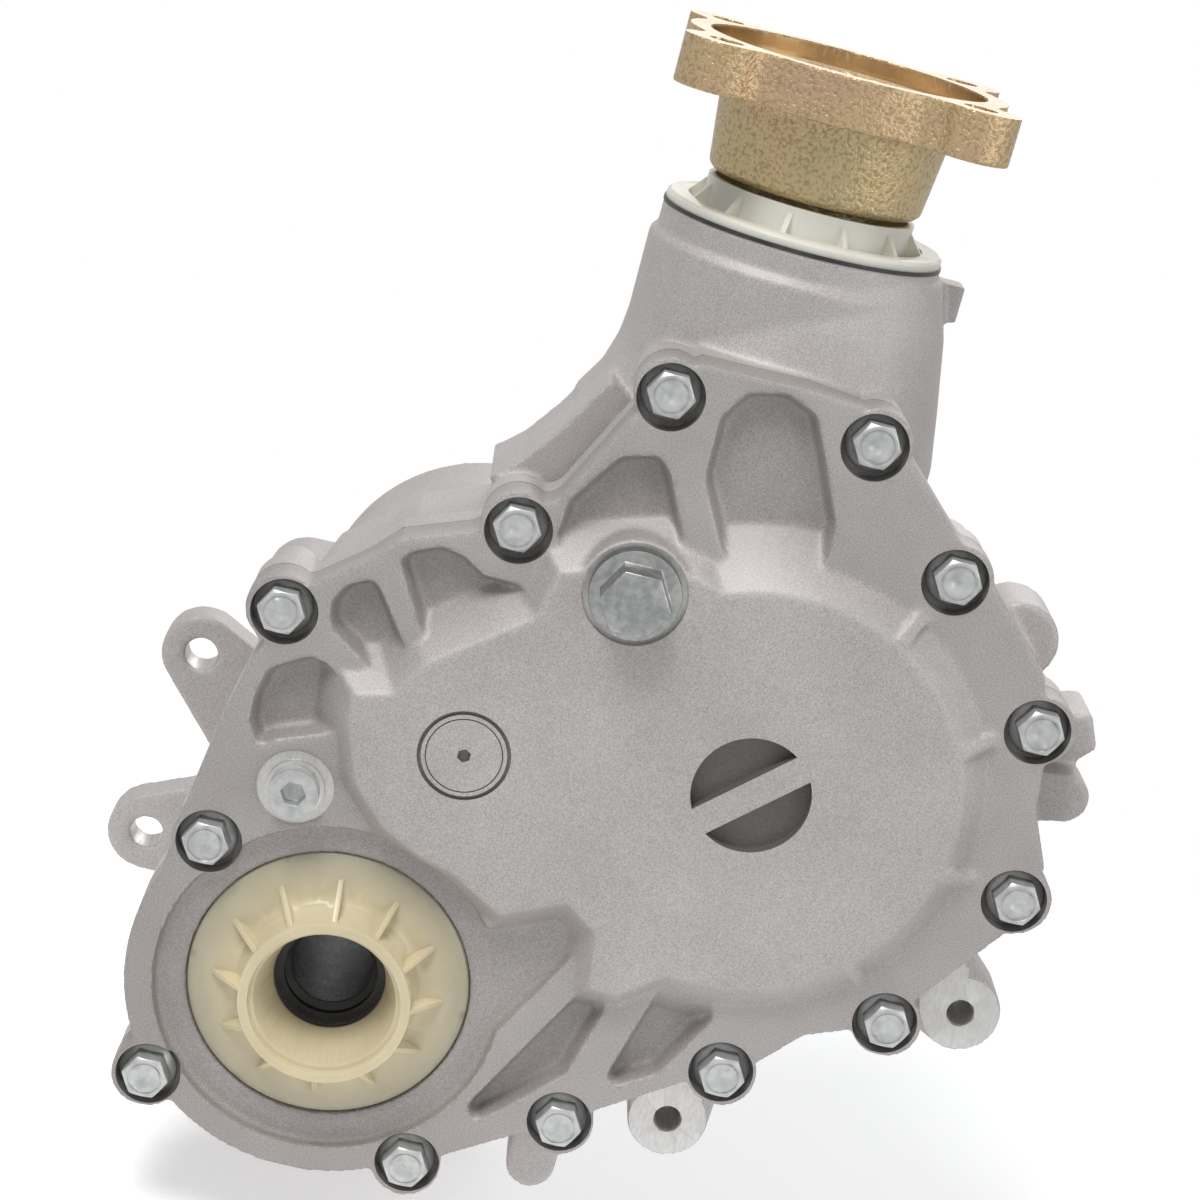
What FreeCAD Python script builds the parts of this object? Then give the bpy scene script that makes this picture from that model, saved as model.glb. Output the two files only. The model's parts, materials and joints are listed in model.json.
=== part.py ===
"""Right-angle transfer case: a power transfer unit that bolts to a transverse gearbox.

The hollow input shaft, the idler and the transfer shaft lie one above another along Y.
A hypoid ring gear on the transfer shaft turns the vertical pinion and its square output flange.
Units are millimetres. The origin lies on the input axis in the rear mounting face.
+Y points to the gearbox, +Z along the output axis to its flange, and +X to the right from the front.
Depths below are measured from the joint plane between case and cover, +Y to the rear.
"""
import FreeCAD, Part
import os
from math import acos, atan2, ceil, cos, degrees, hypot, pi, radians, sin, sqrt, tan

V = FreeCAD.Vector
FRONT_TO_REAR = V(0, 1, 0)

# Gear train
MODULE = 2.0
INPUT_TEETH = 44
IDLER_TEETH = 48
DRIVEN_TEETH = 40
PRESSURE_ANGLE = 20.0
GEAR_BACKLASH = 0.16
IDLER_DIRECTION = 75.5
RING_DIRECTION = 6.0
GEAR_WIDTH = 22.0
HUB_STEP = 2.0

# Hypoid pair
RING_TEETH = 38
PINION_TEETH = 13
HYPOID_OFFSET = 23.1
OUTPUT_DEPTH = 52.0
RING_RADIUS = 58.0
RING_BORE_RADIUS = 25.0
RING_BACK = 16.0
RING_FACE_WIDTH = 20.5
RING_ADDENDUM = 1.1
RING_DEDENDUM = 3.2
PINION_ADDENDUM = 1.8
PINION_DEDENDUM = 2.1
HYPOID_BACKLASH = 0.95
HYPOID_LEAD = -0.4
HYPOID_PRESSURE_ANGLE = 25.0
PINION_STATIONS = 5

# Case and cover
COVER_THICKNESS = 14.0
SEALANT_THICKNESS = 0.4
PLATEAU_HEIGHT = 21.0
POCKET_FLOOR = 6.5
SHELF_HEIGHT = 10.0
BOLT_SEAT_HEIGHT = 8.0
COVER_WALL = 6.0
CASE_FLANGE_DEPTH = 12.0
CASE_WALL = 5.0
CHAMBER_GAP = 1.5
FRONT_BODY_DEPTH = 62.0
CASE_DEPTH = 126.0
REAR_BEARING_INSET = 14.0
REAR_WALL_INSET = 6.0
BOSS_RADIUS = 10.8
COUNTERBORE_RADIUS = 11.0
POCKET_DRAFT = 2.0
PLATEAU_DRAFT = 12.0
SLOT_RADIUS = 18.5
SLOT_DEPTH = 5.0
SLOT_BAR_WIDTH = 9.0
SLOT_BAR_ANGLE = 42.0

# Fasteners
BOLT_RADIUS = 4.0
BOLT_HOLE_RADIUS = 4.5
BOLT_HEX = 13.0
BOLT_HEAD_HEIGHT = 8.5
BOLT_FLANGE_RADIUS = 9.0
BOLT_FLANGE_HEIGHT = 2.2
BOLT_REACH = 16.0
BOSS_DEPTH = 28.0
DOWEL_RADIUS = 4.0
DOWEL_LENGTH = 14.0
RING_BOLT_COUNT = 10
RING_BOLT_CIRCLE = 30.5
RING_BOLT_REACH = 11.0
RING_BOLT_HEAD_HEIGHT = 5.5

# Input side
INPUT_BORE_RADIUS = 16.0
INPUT_JOURNAL_RADIUS = 22.5
INPUT_TUBE_RADIUS = 27.0
INPUT_SEAT_RADIUS = 25.0
INPUT_STUB_RADIUS = 21.0
INPUT_STUB_LENGTH = 52.0
INPUT_SPLINE_LENGTH = 28.0
INPUT_SPLINE_COUNT = 24
SPLINE_DEPTH = 1.2
INPUT_CUP_RADIUS = 37.5
INPUT_BEARING_WIDTH = 20.0
INPUT_FRONT_BEARING = 9.0
SEAL_WIDTH = 9.0
SEAL_CLEARANCE = 0.1
PLUG_BORE_RADIUS = 44.7
PLUG_BORE_FLOOR = 3.0
PLUG_CLEARANCE = 0.15
PLUG_HOLE_RADIUS = 17.8
PLUG_COLLAR_RADIUS = 26.8
PLUG_COLLAR_WALL = 3.0
PLUG_COLLAR_HEIGHT = 21.0
PLUG_LEDGE_RADIUS = 22.3
PLUG_LEDGE_DROP = 2.5
PLUG_RIM_HEIGHT = 5.0
PLUG_FACE_HEIGHT = 8.0
PLUG_RIB_REACH = 36.5
PLUG_RIB_THICKNESS = 1.6
PLUG_RIBS = 12
PLUG_TURN = 6.0
INPUT_BOSS_RADIUS = 47.5
PILOT_RADIUS = 42.0
PILOT_LENGTH = 21.0
PILOT_SEAT_RADIUS = 54.0
PILOT_GROOVE_RADIUS = 46.0
PILOT_GROOVE_DEPTH = 3.0

# Transfer shaft
TRANSFER_JOURNAL_RADIUS = 15.0
TRANSFER_CUP_RADIUS = 31.0
TRANSFER_BEARING_WIDTH = 17.25
TRANSFER_SEAT_RADIUS = 19.0
TRANSFER_BODY_RADIUS = 22.0
TRANSFER_FLANGE_RADIUS = 38.0
TRANSFER_FLANGE_FRONT = 9.0
BEARING_POCKET_FLOOR = 13.5
SHIM_THICKNESS = 1.0
BEARING_WALL = 6.5

# Idler
IDLER_PIN_RADIUS = 11.5
IDLER_HUB_RADIUS = 18.0
NEEDLE_RADIUS = 0.95
NEEDLE_CLEARANCE = 0.1
NEEDLE_LENGTH = 18.0
NEEDLE_COUNT = 24
THRUST_WASHER_THICKNESS = 2.0
PIN_RING_RADIUS = 14.3
PIN_RING_DEPTH = 1.2
PIN_RING_WIDTH = 1.2
PIN_INSET = 4.0

# Output side
PINION_INNER_JOURNAL = 20.0
PINION_INNER_CUP = 40.0
PINION_INNER_WIDTH = 19.75
PINION_OUTER_JOURNAL = 17.5
PINION_OUTER_CUP = 36.0
PINION_OUTER_WIDTH = 18.25
PINION_BEARING_RISE = 62.0
OUTER_BEARING_DROP = 44.0
SPLINE_RADIUS = 15.0
PINION_SPLINE_COUNT = 26
THREAD_RADIUS = 12.0
NUT_HEX = 36.0
NUT_HEIGHT = 14.0
FLANGE_SLEEVE_RADIUS = 22.0
FLANGE_HUB_LENGTH = 42.0
FLANGE_FACE_RISE = 214.0
FLANGE_THICKNESS = 15.5
FLANGE_HUB_RADIUS = 34.0
FLANGE_NECK_RADIUS = 36.5
FLANGE_DISC_RADIUS = 50.5
FLANGE_BOLT_CIRCLE = 54.75
FLANGE_BOLT_RADIUS = 5.2
FLANGE_LOBE_RADIUS = 12.5
FLANGE_NOTCH_RADIUS = 9.0
FLANGE_TURN = -3.0
FLANGE_PILOT_RADIUS = 44.0
FLANGE_PILOT_DEPTH = 6.0
NECK_RADIUS = 44.5
# Square tab on the neck's right side
NECK_TAB_SIZE = (14.0, 12.0, 12.0)
NECK_TAB_DROP = 17.0
NECK_TO_FACE = 54.0
NECK_SHIFT = 5.0
GEAR_CLOSURE_RISE = 36.0
SHIELD_RADIUS = 44.2
SHIELD_SPIGOT_RADIUS = 41.5
SHIELD_SPIGOT_DEPTH = 6.0
SHIELD_BRIM = 3.0
SHIELD_COLLAR_RADIUS = 33.0
SHIELD_COLLAR_HEIGHT = 10.5
SHIELD_WALL = 2.0
SHIELD_BRIM_WIDTH = 6.5
SHIELD_WEB = 0.5
SHIELD_RIBS = 12
SHIELD_RIB_THICKNESS = 1.6

# Mounting lugs and ribs
LUG_HOLE_RADIUS = 5.75
RIB_THICKNESS = 5.0
RIB_ROOT_SPREAD = 0.5
LUG_THICKNESS = 14.0
LUG_ROOT_RADIUS = 22.0
TAPPED_LUG_RADIUS = 13.0
TAPPED_LUG_DEPTH = 20.0
TAPPED_HOLE_RADIUS = 4.25
TAPPED_HOLE_DEPTH = 17.0


class Axis:
    """A shaft axis along Y, with the tip radius of the gear that turns on it."""

    def __init__(self, x, z, reach):
        self.x = x
        self.z = z
        self.reach = reach

    def at(self, stand_off, angle):
        """The point that lies stand_off beyond the gear's tips at an angle from +X."""
        radius = self.reach + stand_off
        return (self.x + radius * cos(radians(angle)), self.z + radius * sin(radians(angle)))


def tip_radius(teeth):
    return MODULE * (teeth / 2 + 1)


def centre_distance(teeth_a, teeth_b):
    return MODULE * (teeth_a + teeth_b) / 2


idler_span = centre_distance(INPUT_TEETH, IDLER_TEETH)
ring_span = centre_distance(IDLER_TEETH, DRIVEN_TEETH)
INPUT = Axis(0.0, 0.0, tip_radius(INPUT_TEETH))
IDLER = Axis(
    idler_span * cos(radians(IDLER_DIRECTION)),
    idler_span * sin(radians(IDLER_DIRECTION)),
    tip_radius(IDLER_TEETH),
)
RING = Axis(
    IDLER.x + ring_span * cos(radians(RING_DIRECTION)),
    IDLER.z + ring_span * sin(radians(RING_DIRECTION)),
    RING_RADIUS,
)
OUTPUT_X = RING.x - HYPOID_OFFSET

# Bolts of the cover: axis, stand-off beyond the gear tips, angle
COVER_BOLTS = (
    (IDLER, 76.5, 75.0),
    (RING, 55.5, 86.0),
    (RING, 32.0, 61.5),
    (RING, 32.0, 26.0),
    (RING, 33.5, -10.0),
    (RING, 33.0, -46.5),
    (RING, 39.0, -80.0),
    (RING, 70.5, -103.0),
    (INPUT, 19.0, -54.5),
    (INPUT, 19.0, -139.0),
    (INPUT, 15.5, 140.0),
    (IDLER, 20.0, 155.5),
    (IDLER, 21.5, 91.0),
)
COVER_DOWELS = ((INPUT, 11.0, 165.0), (RING, 22.0, -28.0))

# Edge of the cover between its bolt bosses, clockwise from the top
COVER_EDGE = (
    (IDLER, 89.0, 73.5),
    (RING, 67.5, 97.0),
    (RING, 65.0, 89.5),
    (RING, 55.5, 80.5),
    (RING, 42.0, 67.0),
    (RING, 38.5, 55.0),
    (RING, 37.5, 36.0),
    (RING, 32.0, 17.5),
    (RING, 30.5, 9.5),
    (RING, 37.5, -2.0),
    (RING, 35.5, -17.5),
    (RING, 31.0, -39.0),
    (RING, 30.0, -53.5),
    (RING, 27.5, -63.0),
    (RING, 35.5, -74.0),
    (RING, 43.5, -86.5),
    (RING, 61.5, -99.0),
    (INPUT, 32.5, -25.0),
    (INPUT, 21.5, -45.0),
    (INPUT, 17.5, -67.0),
)
INPUT_EDGE_STAND_OFF = 17.5
COVER_EDGE_LEFT = (
    (INPUT, 18.0, 157.0),
    (INPUT, 27.5, 140.0),
    (IDLER, 25.0, -172.0),
    (IDLER, 20.0, 171.0),
    (IDLER, 19.0, 146.0),
    (IDLER, 16.0, 129.5),
    (IDLER, 18.5, 120.0),
    (IDLER, 18.5, 102.0),
    (IDLER, 33.5, 84.0),
    (IDLER, 66.5, 78.0),
)

# Raised plateau over the gears; the dome's arc joins its last point to its first
PLATEAU_EDGE = (
    (RING, 6.0, -80.0),
    (RING, 7.5, -99.5),
    (RING, 20.0, -107.5),
    (RING, 22.5, -113.0),
    (RING, 7.5, -121.0),
    (RING, 8.0, -133.5),
    (IDLER, 3.0, -64.5),
    (IDLER, -11.5, -81.5),
    (IDLER, -14.5, -99.0),
    (IDLER, -16.0, -123.5),
    (IDLER, -16.0, -150.5),
    (IDLER, -14.0, 177.0),
    (IDLER, -12.0, 164.0),
    (IDLER, -21.5, 152.0),
    (IDLER, -19.0, 125.0),
    (IDLER, -1.0, 77.0),
    (IDLER, 14.5, 77.5),
    (RING, 19.0, 125.0),
    (RING, 12.0, 118.0),
    (RING, 5.0, 111.0),
)
DOME_STAND_OFF = 6.0
DOME_SLOPE = 18.0
DOME_START = 86.0
# Short ribs that run down the dome's slope towards the bolts: direction, inner and outer stand-off
SLOPE_RIBS = ((61.5, 2.0, 19.0), (26.0, 2.0, 20.0), (-10.0, 2.0, 20.0), (-46.5, 2.0, 19.0))
SLOPE_RIB_WIDTH = 4.5
SLOPE_RIB_DROP = 0.5

# Pockets between the bolts: three beside the output neck, three round the idler, two below the dome
POCKETS = (
    ((RING, 28.5, 88.0), (RING, 47.5, 93.0), (RING, 60.0, 95.5), (RING, 65.5, 100.0), (RING, 65.5, 105.5),
     (RING, 58.5, 109.5), (RING, 40.0, 113.0), (RING, 7.0, 110.5), (RING, 7.0, 87.0)),
    ((IDLER, 15.5, 73.5), (IDLER, 21.5, 81.5), (IDLER, 34.5, 82.0), (IDLER, 53.0, 77.0), (IDLER, 59.0, 71.5),
     (IDLER, 56.0, 68.5), (IDLER, 44.0, 60.0), (IDLER, 41.0, 57.5), (IDLER, 26.5, 60.5)),
    ((IDLER, 12.5, 122.0), (IDLER, 14.0, 118.0), (IDLER, 14.0, 110.0), (IDLER, 11.0, 104.0), (IDLER, 5.0, 97.5),
     (IDLER, 4.5, 88.0), (IDLER, 3.5, 78.0), (IDLER, -5.0, 70.0), (IDLER, -26.0, 120.0), (IDLER, -13.5, 123.5)),
    ((IDLER, 5.5, 150.5), (IDLER, 11.0, 145.0), (IDLER, 12.5, 138.5), (IDLER, 10.0, 130.5), (IDLER, 4.0, 130.5),
     (IDLER, -19.0, 134.5), (IDLER, -24.0, 153.0), (IDLER, -15.5, 153.0)),
    ((IDLER, 16.0, -172.5), (IDLER, 16.0, -179.5), (IDLER, 14.5, 171.0), (IDLER, 5.0, 162.0), (IDLER, 0.0, 161.0),
     (IDLER, -11.0, 165.5), (IDLER, -20.0, 163.0), (IDLER, -22.0, -175.5), (IDLER, -12.0, -173.5),
     (IDLER, 8.5, -168.0), (IDLER, 13.5, -166.0)),
    ((RING, 28.0, -113.0), (RING, 24.0, -110.5), (RING, 26.5, -106.5), (RING, 54.5, -106.0),
     (RING, 76.5, -111.0), (RING, 85.0, -113.0), (RING, 81.5, -115.0)),
    ((RING, 8.0, -97.0), (RING, 49.0, -100.0), (RING, 51.5, -98.0), (RING, 42.5, -91.5), (RING, 21.5, -83.5),
     (RING, 9.0, -83.5)),
)
# Recess that runs from the shelf round the input plug to the foot of the plateau
SHELF_RECESS = (
    (INPUT, 0.0, 38.0), (INPUT, 39.0, 38.0), (INPUT, 38.0, 25.0), (INPUT, 4.0, -34.0), (INPUT, -8.0, -30.0),
    (INPUT, -8.0, 30.0),
)
POCKET_CORNER = 4.0
SHELF_STAND_OFF = 8.5

FILL_PLUG = (IDLER, 22.5, 59.0)
FILL_PLUG_RADIUS = 9.0
FILL_PLUG_HEX = 19.0
FILL_PLUG_HEX_HEIGHT = 10.0
FILL_PLUG_COLLAR = 14.0
FILL_PLUG_COLLAR_HEIGHT = 3.0
FILL_BOSS_RADIUS = 17.0
FILL_BOSS_HEIGHT = 18.0
WASHER_THICKNESS = 1.5
LEVEL_PLUG = (INPUT, 22.0, 111.0)
LEVEL_PLUG_RADIUS = 6.0
LEVEL_PLUG_HEAD_RADIUS = 7.8
LEVEL_PLUG_HEAD_HEIGHT = 5.0
LEVEL_PLUG_SOCKET = 7.0
LEVEL_PAD_RADIUS = 12.0
LEVEL_PAD_HEIGHT = 13.0

TAPPED_LUGS = ((RING, 49.5, -35.5), (RING, 64.0, -87.0))
TRANSAXLE_LUGS = ((INPUT, 42.0, 142.0), (INPUT, 30.0, 192.0), (INPUT, 34.0, 262.0), (INPUT, 38.0, 318.0))
LUG_RADIUS = 14.0

# Bosses beside the cover: outer end, inner end, radius, front and rear depth
SIDE_BOSSES = (
    ((RING, 34.5, 38.5), (RING, 10.0, 38.5), 13.0, 14.0, 38.0),
    ((RING, 42.0, 8.5), (RING, 12.0, 8.5), 8.0, 3.0, 20.0),
    ((RING, 96.5, -102.0), (RING, 73.0, -104.5), 8.0, 4.0, 20.0),
    ((IDLER, 12.5, 179.0), (IDLER, -14.0, 179.0), 14.0, 66.0, 118.0),
)
SIDE_BLOCK = ((RING, 10.0, 26.0), (RING, 52.0, 21.5), (RING, 53.0, 15.5), (RING, 46.0, 13.0), (RING, 10.0, 8.0))
SIDE_BLOCK_DEPTHS = (14.0, 40.0)
# Shoulder that fills the corner between the neck and the idler's end of the case
SHOULDER = (
    (IDLER, 66.5, 82.0), (IDLER, 57.0, 84.0), (IDLER, 46.5, 87.0), (IDLER, 34.5, 92.5), (IDLER, 28.0, 99.0),
    (IDLER, 5.0, 92.0), (IDLER, 5.0, 72.0), (IDLER, 58.5, 68.0),
)
SHOULDER_DEPTHS = (16.0, 58.0)

# Ribs on the rear wall: outer end, inner end, how far ahead of the rear face each begins and ends
REAR_RIBS = (
    ((INPUT, 22.0, 40.0), (INPUT, -6.0, 40.0), 26.0, 0.0),
    ((INPUT, 4.0, 110.0), (INPUT, -6.0, 110.0), 26.0, 0.0),
    ((IDLER, 3.0, 60.0), (IDLER, -36.0, 60.0), 26.0, 0.0),
    ((IDLER, 3.0, 110.0), (IDLER, -36.0, 110.0), 26.0, 0.0),
    ((IDLER, 3.0, 160.0), (IDLER, -36.0, 160.0), 26.0, 0.0),
    ((IDLER, 2.0, 10.0), (IDLER, -36.0, 10.0), 26.0, 0.0),
    ((RING, -12.0, -20.0), (RING, -22.0, -20.0), 56.0, 0.0),
    ((RING, -12.0, 40.0), (RING, -22.0, 40.0), 56.0, 0.0),
    ((RING, 12.0, -60.0), (RING, -22.0, -60.0), 66.0, 8.0),
    ((RING, 12.0, -20.0), (RING, -22.0, -20.0), 66.0, 8.0),
    ((RING, 12.0, 20.0), (RING, -22.0, 20.0), 66.0, 8.0),
)

HUB_REAR = CASE_DEPTH - REAR_BEARING_INSET
GEAR_REAR = HUB_REAR - HUB_STEP
GEAR_FRONT = GEAR_REAR - GEAR_WIDTH
HUB_FRONT = GEAR_FRONT - HUB_STEP
PINION_BEARING_Z = RING.z + PINION_BEARING_RISE
FLANGE_FACE_Z = RING.z + FLANGE_FACE_RISE
FLANGE_BACK_Z = FLANGE_FACE_Z - FLANGE_THICKNESS
FLANGE_HUB_Z = FLANGE_FACE_Z - FLANGE_HUB_LENGTH
NECK_TOP = FLANGE_FACE_Z - NECK_TO_FACE
OUTER_BEARING_Z = NECK_TOP - OUTER_BEARING_DROP


def disc_y(x, z, radius, front, rear):
    return Part.makeCylinder(radius, rear - front, V(x, front, z), FRONT_TO_REAR)


def tube_y(x, z, outer, inner, front, rear):
    return disc_y(x, z, outer, front, rear).cut(disc_y(x, z, inner, front, rear))


def disc_z(x, y, radius, low, high):
    return Part.makeCylinder(radius, high - low, V(x, y, low))


def tube_z(x, y, outer, inner, low, high):
    return disc_z(x, y, outer, low, high).cut(disc_z(x, y, inner, low, high))


def turned(profile):
    """Revolve (radius, height) points about +Z."""
    points = [V(radius, 0, height) for radius, height in profile]
    wire = Part.makePolygon(points + points[:1])
    return Part.Face(wire).revolve(V(0, 0, 0), V(0, 0, 1), 360)


def along_y(shape, x, z, start=0.0, facing_front=False):
    """Lay a solid that was made along +Z on a shaft axis, +Z to the rear or to the front."""
    laid = shape.copy()
    laid.rotate(V(0, 0, 0), V(1, 0, 0), 90 if facing_front else -90)
    laid.translate(V(x, start, z))
    return laid


def on_output(shape, low=0.0, facing_down=False):
    """Stand a solid that was made along +Z on the output axis."""
    laid = shape.copy()
    if facing_down:
        laid.rotate(V(0, 0, 0), V(1, 0, 0), 180)
    laid.translate(V(OUTPUT_X, OUTPUT_DEPTH, low))
    return laid


def loop_y(points, depth):
    corners = [V(x, depth, z) for x, z in points]
    return Part.makePolygon(corners + corners[:1])


def prism_y(points, front, rear):
    return Part.Face(loop_y(points, front)).extrude(V(0, rear - front, 0))


def inset_points(points, inset):
    """Move each side of a closed outline inwards by inset."""
    area = sum(a[0] * b[1] - b[0] * a[1] for a, b in zip(points, points[1:] + points[:1]))
    side = 1.0 if area > 0 else -1.0
    moved = []
    for before, here, after in zip(points[-1:] + points[:-1], points, points[1:] + points[:1]):
        first = atan2(here[1] - before[1], here[0] - before[0])
        second = atan2(after[1] - here[1], after[0] - here[0])
        half_turn = (second - first) / 2
        middle = first + half_turn
        if cos(half_turn) < 0:
            middle += pi
        reach = side * inset / abs(cos(half_turn))
        moved.append((here[0] - reach * sin(middle), here[1] + reach * cos(middle)))
    return moved


def rounded_wire(points, radius, depth):
    """A closed outline in the plane y = depth with every corner rounded."""
    corners = []
    for before, here, after in zip(points[-1:] + points[:-1], points, points[1:] + points[:1]):
        back = V(before[0] - here[0], 0, before[1] - here[1])
        ahead = V(after[0] - here[0], 0, after[1] - here[1])
        angle = back.getAngle(ahead)
        most = 0.45 * min(back.Length, ahead.Length)
        trim = min(radius / tan(angle / 2), most)
        arc_radius = trim * tan(angle / 2)
        corner = V(here[0], depth, here[1])
        start = corner + back.normalize() * trim
        end = corner + ahead.normalize() * trim
        towards = (start + end) * 0.5 - corner
        bulge = corner + towards.normalize() * (arc_radius / sin(angle / 2) - arc_radius)
        corners.append((start, bulge, end))
    edges = []
    for (start, bulge, end), (following, _, _) in zip(corners, corners[1:] + corners[:1]):
        edges.append(Part.Arc(start, bulge, end).toShape())
        edges.append(Part.makeLine(end, following))
    return Part.Wire(edges)


def drafted(points, radius, front, rear, inset):
    """A rounded block whose rear outline is inset from its front outline."""
    wide = rounded_wire(points, radius, front)
    narrow = rounded_wire(inset_points(points, inset), radius, rear)
    return Part.makeLoft([wide, narrow], True, True)


def hull_y(circles, front, rear):
    """The prism round a row of circles (x, z, radius), as a belt would wrap them."""
    pieces = [disc_y(x, z, radius, front, rear) for x, z, radius in circles]
    for index, first in enumerate(circles):
        for second in circles[index + 1:]:
            pieces.append(belt_y(first, second, front, rear))
    centres = [(x, z) for x, z, _ in circles]
    if len(centres) > 2:
        pieces.append(prism_y(centres, front, rear))
    return pieces[0].fuse(pieces[1:]).removeSplitter()


def belt_y(first, second, front, rear):
    """The prism between the two outer tangents of two circles."""
    (xa, za, ra), (xb, zb, rb) = first, second
    span = hypot(xb - xa, zb - za)
    heading = atan2(zb - za, xb - xa)
    lean = acos((ra - rb) / span)
    corners = []
    for x, z, r, sign in ((xa, za, ra, 1), (xb, zb, rb, 1), (xb, zb, rb, -1), (xa, za, ra, -1)):
        corners.append((x + r * cos(heading + sign * lean), z + r * sin(heading + sign * lean)))
    return prism_y(corners, front, rear)


def hexagon(across_flats, low, high):
    corner = across_flats / sqrt(3)
    points = [V(corner * cos(radians(60 * k)), corner * sin(radians(60 * k)), low) for k in range(6)]
    return Part.Face(Part.makePolygon(points + points[:1])).extrude(V(0, 0, high - low))


def involute(angle):
    return tan(angle) - angle


def tooth_half_angle(radius, pitch_radius, half_thickness, pressure_angle):
    """Half of the angle that an involute tooth fills at a radius."""
    base = pitch_radius * cos(pressure_angle)
    local = acos(min(1.0, base / max(radius, base)))
    return half_thickness / pitch_radius + involute(pressure_angle) - involute(local)


def gear_points(teeth, pitch_radius, addendum, dedendum, thinning, pressure_angle, phase):
    """Corner points of a gear section, with tooth 0 centred on phase."""
    half_thickness = pi * pitch_radius / teeth / 2 - thinning
    root = pitch_radius - dedendum
    tip = pitch_radius + addendum
    base = pitch_radius * cos(pressure_angle)
    low = max(root, base)
    rungs = [root, (low + pitch_radius) / 2, (pitch_radius + tip) / 2, tip]
    points = []
    for tooth in range(teeth):
        centre = phase + 2 * pi * tooth / teeth
        halves = [tooth_half_angle(r, pitch_radius, half_thickness, pressure_angle) for r in rungs]
        for r, half in zip(rungs, halves):
            points.append((r * cos(centre - half), r * sin(centre - half)))
        for r, half in zip(rungs[::-1], halves[::-1]):
            points.append((r * cos(centre + half), r * sin(centre + half)))
    return points


def spur_gear(axis, teeth, phase, front, rear):
    pitch = MODULE * teeth / 2
    points = gear_points(teeth, pitch, 0.95 * MODULE, 1.2 * MODULE, GEAR_BACKLASH,
                         radians(PRESSURE_ANGLE), radians(phase))
    return prism_y([(axis.x + x, axis.z + z) for x, z in points], front, rear)


def splined(radius, depth, count, low, high):
    """A shaft end with straight-sided splines, along +Z."""
    shaft = Part.makeCylinder(radius, high - low, V(0, 0, low))
    width = pi * radius / count
    grooves = []
    for k in range(count):
        groove = Part.makeBox(2 * depth, width, high - low, V(radius - depth, -width / 2, low))
        groove.rotate(V(0, 0, 0), V(0, 0, 1), 360 * k / count)
        grooves.append(groove)
    return shaft.cut(Part.makeCompound(grooves))


def taper_bearing(cup_radius, bore_radius, width):
    """Cup, cone and rollers of a taper roller bearing that widens towards +Z."""
    clearance = 0.1
    tilt = radians(13)
    mean = (cup_radius + bore_radius) / 2
    roller_radius = 0.2 * (cup_radius - bore_radius)
    length = 0.6 * width
    middle = width / 2
    gap = (roller_radius + clearance) / cos(tilt)
    rise = width / 2 * tan(tilt)
    cup = turned([(cup_radius, 0.12 * width), (cup_radius, width),
                  (mean + gap + rise, width), (mean + gap - rise * 0.76, 0.12 * width)])
    lip_radius = mean - gap + rise + 0.35 * roller_radius
    lip_low = middle + length / 2 * cos(tilt) + roller_radius * sin(tilt) + 2 * clearance
    slope = tan(tilt)
    cone = turned([(bore_radius, 0), (mean - gap - rise, 0),
                   (mean - gap + (lip_low - middle) * slope, lip_low),
                   (lip_radius, lip_low), (lip_radius, width * 0.97), (bore_radius, width * 0.97)])
    small_circle = mean - length / 2 * sin(tilt)
    count = int(pi * small_circle / (roller_radius * 1.15))
    rollers = []
    for k in range(count):
        roller = Part.makeCylinder(roller_radius, length, V(0, 0, -length / 2))
        roller.rotate(V(0, 0, 0), V(0, 1, 0), degrees(tilt))
        roller.translate(V(mean, 0, middle))
        roller.rotate(V(0, 0, 0), V(0, 0, 1), 360 * k / count)
        rollers.append(roller)
    return cup, cone, Part.makeCompound(rollers)


def oil_seal(outer, inner, width):
    """A steel-cased lip seal, along +Z, with its garter lip on the low side."""
    lip = inner + SEAL_CLEARANCE
    return turned([(outer, 0), (outer, width), (lip + 2.5, width), (lip, width - 1.5), (lip, width - 3.5),
                   (lip + 2.5, width - 4.5), (lip + 3.5, 2), (outer - 2.5, 2), (outer - 2.5, 0)])


def edge_points():
    points = [axis.at(stand_off, angle) for axis, stand_off, angle in COVER_EDGE]
    start = 360.0 + COVER_EDGE[-1][2]
    end = COVER_EDGE_LEFT[0][2]
    return points, start, end, [axis.at(stand_off, angle) for axis, stand_off, angle in COVER_EDGE_LEFT]


def outline_face(depth, inset=0.0):
    """The joint outline between the bosses, with the round stretch about the input axis."""
    before, start, end, after = edge_points()
    middle = INPUT.at(INPUT_EDGE_STAND_OFF, (start + end) / 2)
    edges = []
    corners = [V(x, depth, z) for x, z in before]
    for first, second in zip(corners, corners[1:]):
        edges.append(Part.makeLine(first, second))
    lead = V(after[0][0], depth, after[0][1])
    edges.append(Part.Arc(corners[-1], V(middle[0], depth, middle[1]), lead).toShape())
    left = [V(x, depth, z) for x, z in after]
    for first, second in zip(left, left[1:] + corners[:1]):
        edges.append(Part.makeLine(first, second))
    face = Part.Face(Part.Wire(edges))
    if inset:
        face = face.makeOffset2D(-inset, join=0)
    return face


def outline_block(front, rear, inset=0.0):
    return outline_face(front, inset).extrude(V(0, rear - front, 0))


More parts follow.
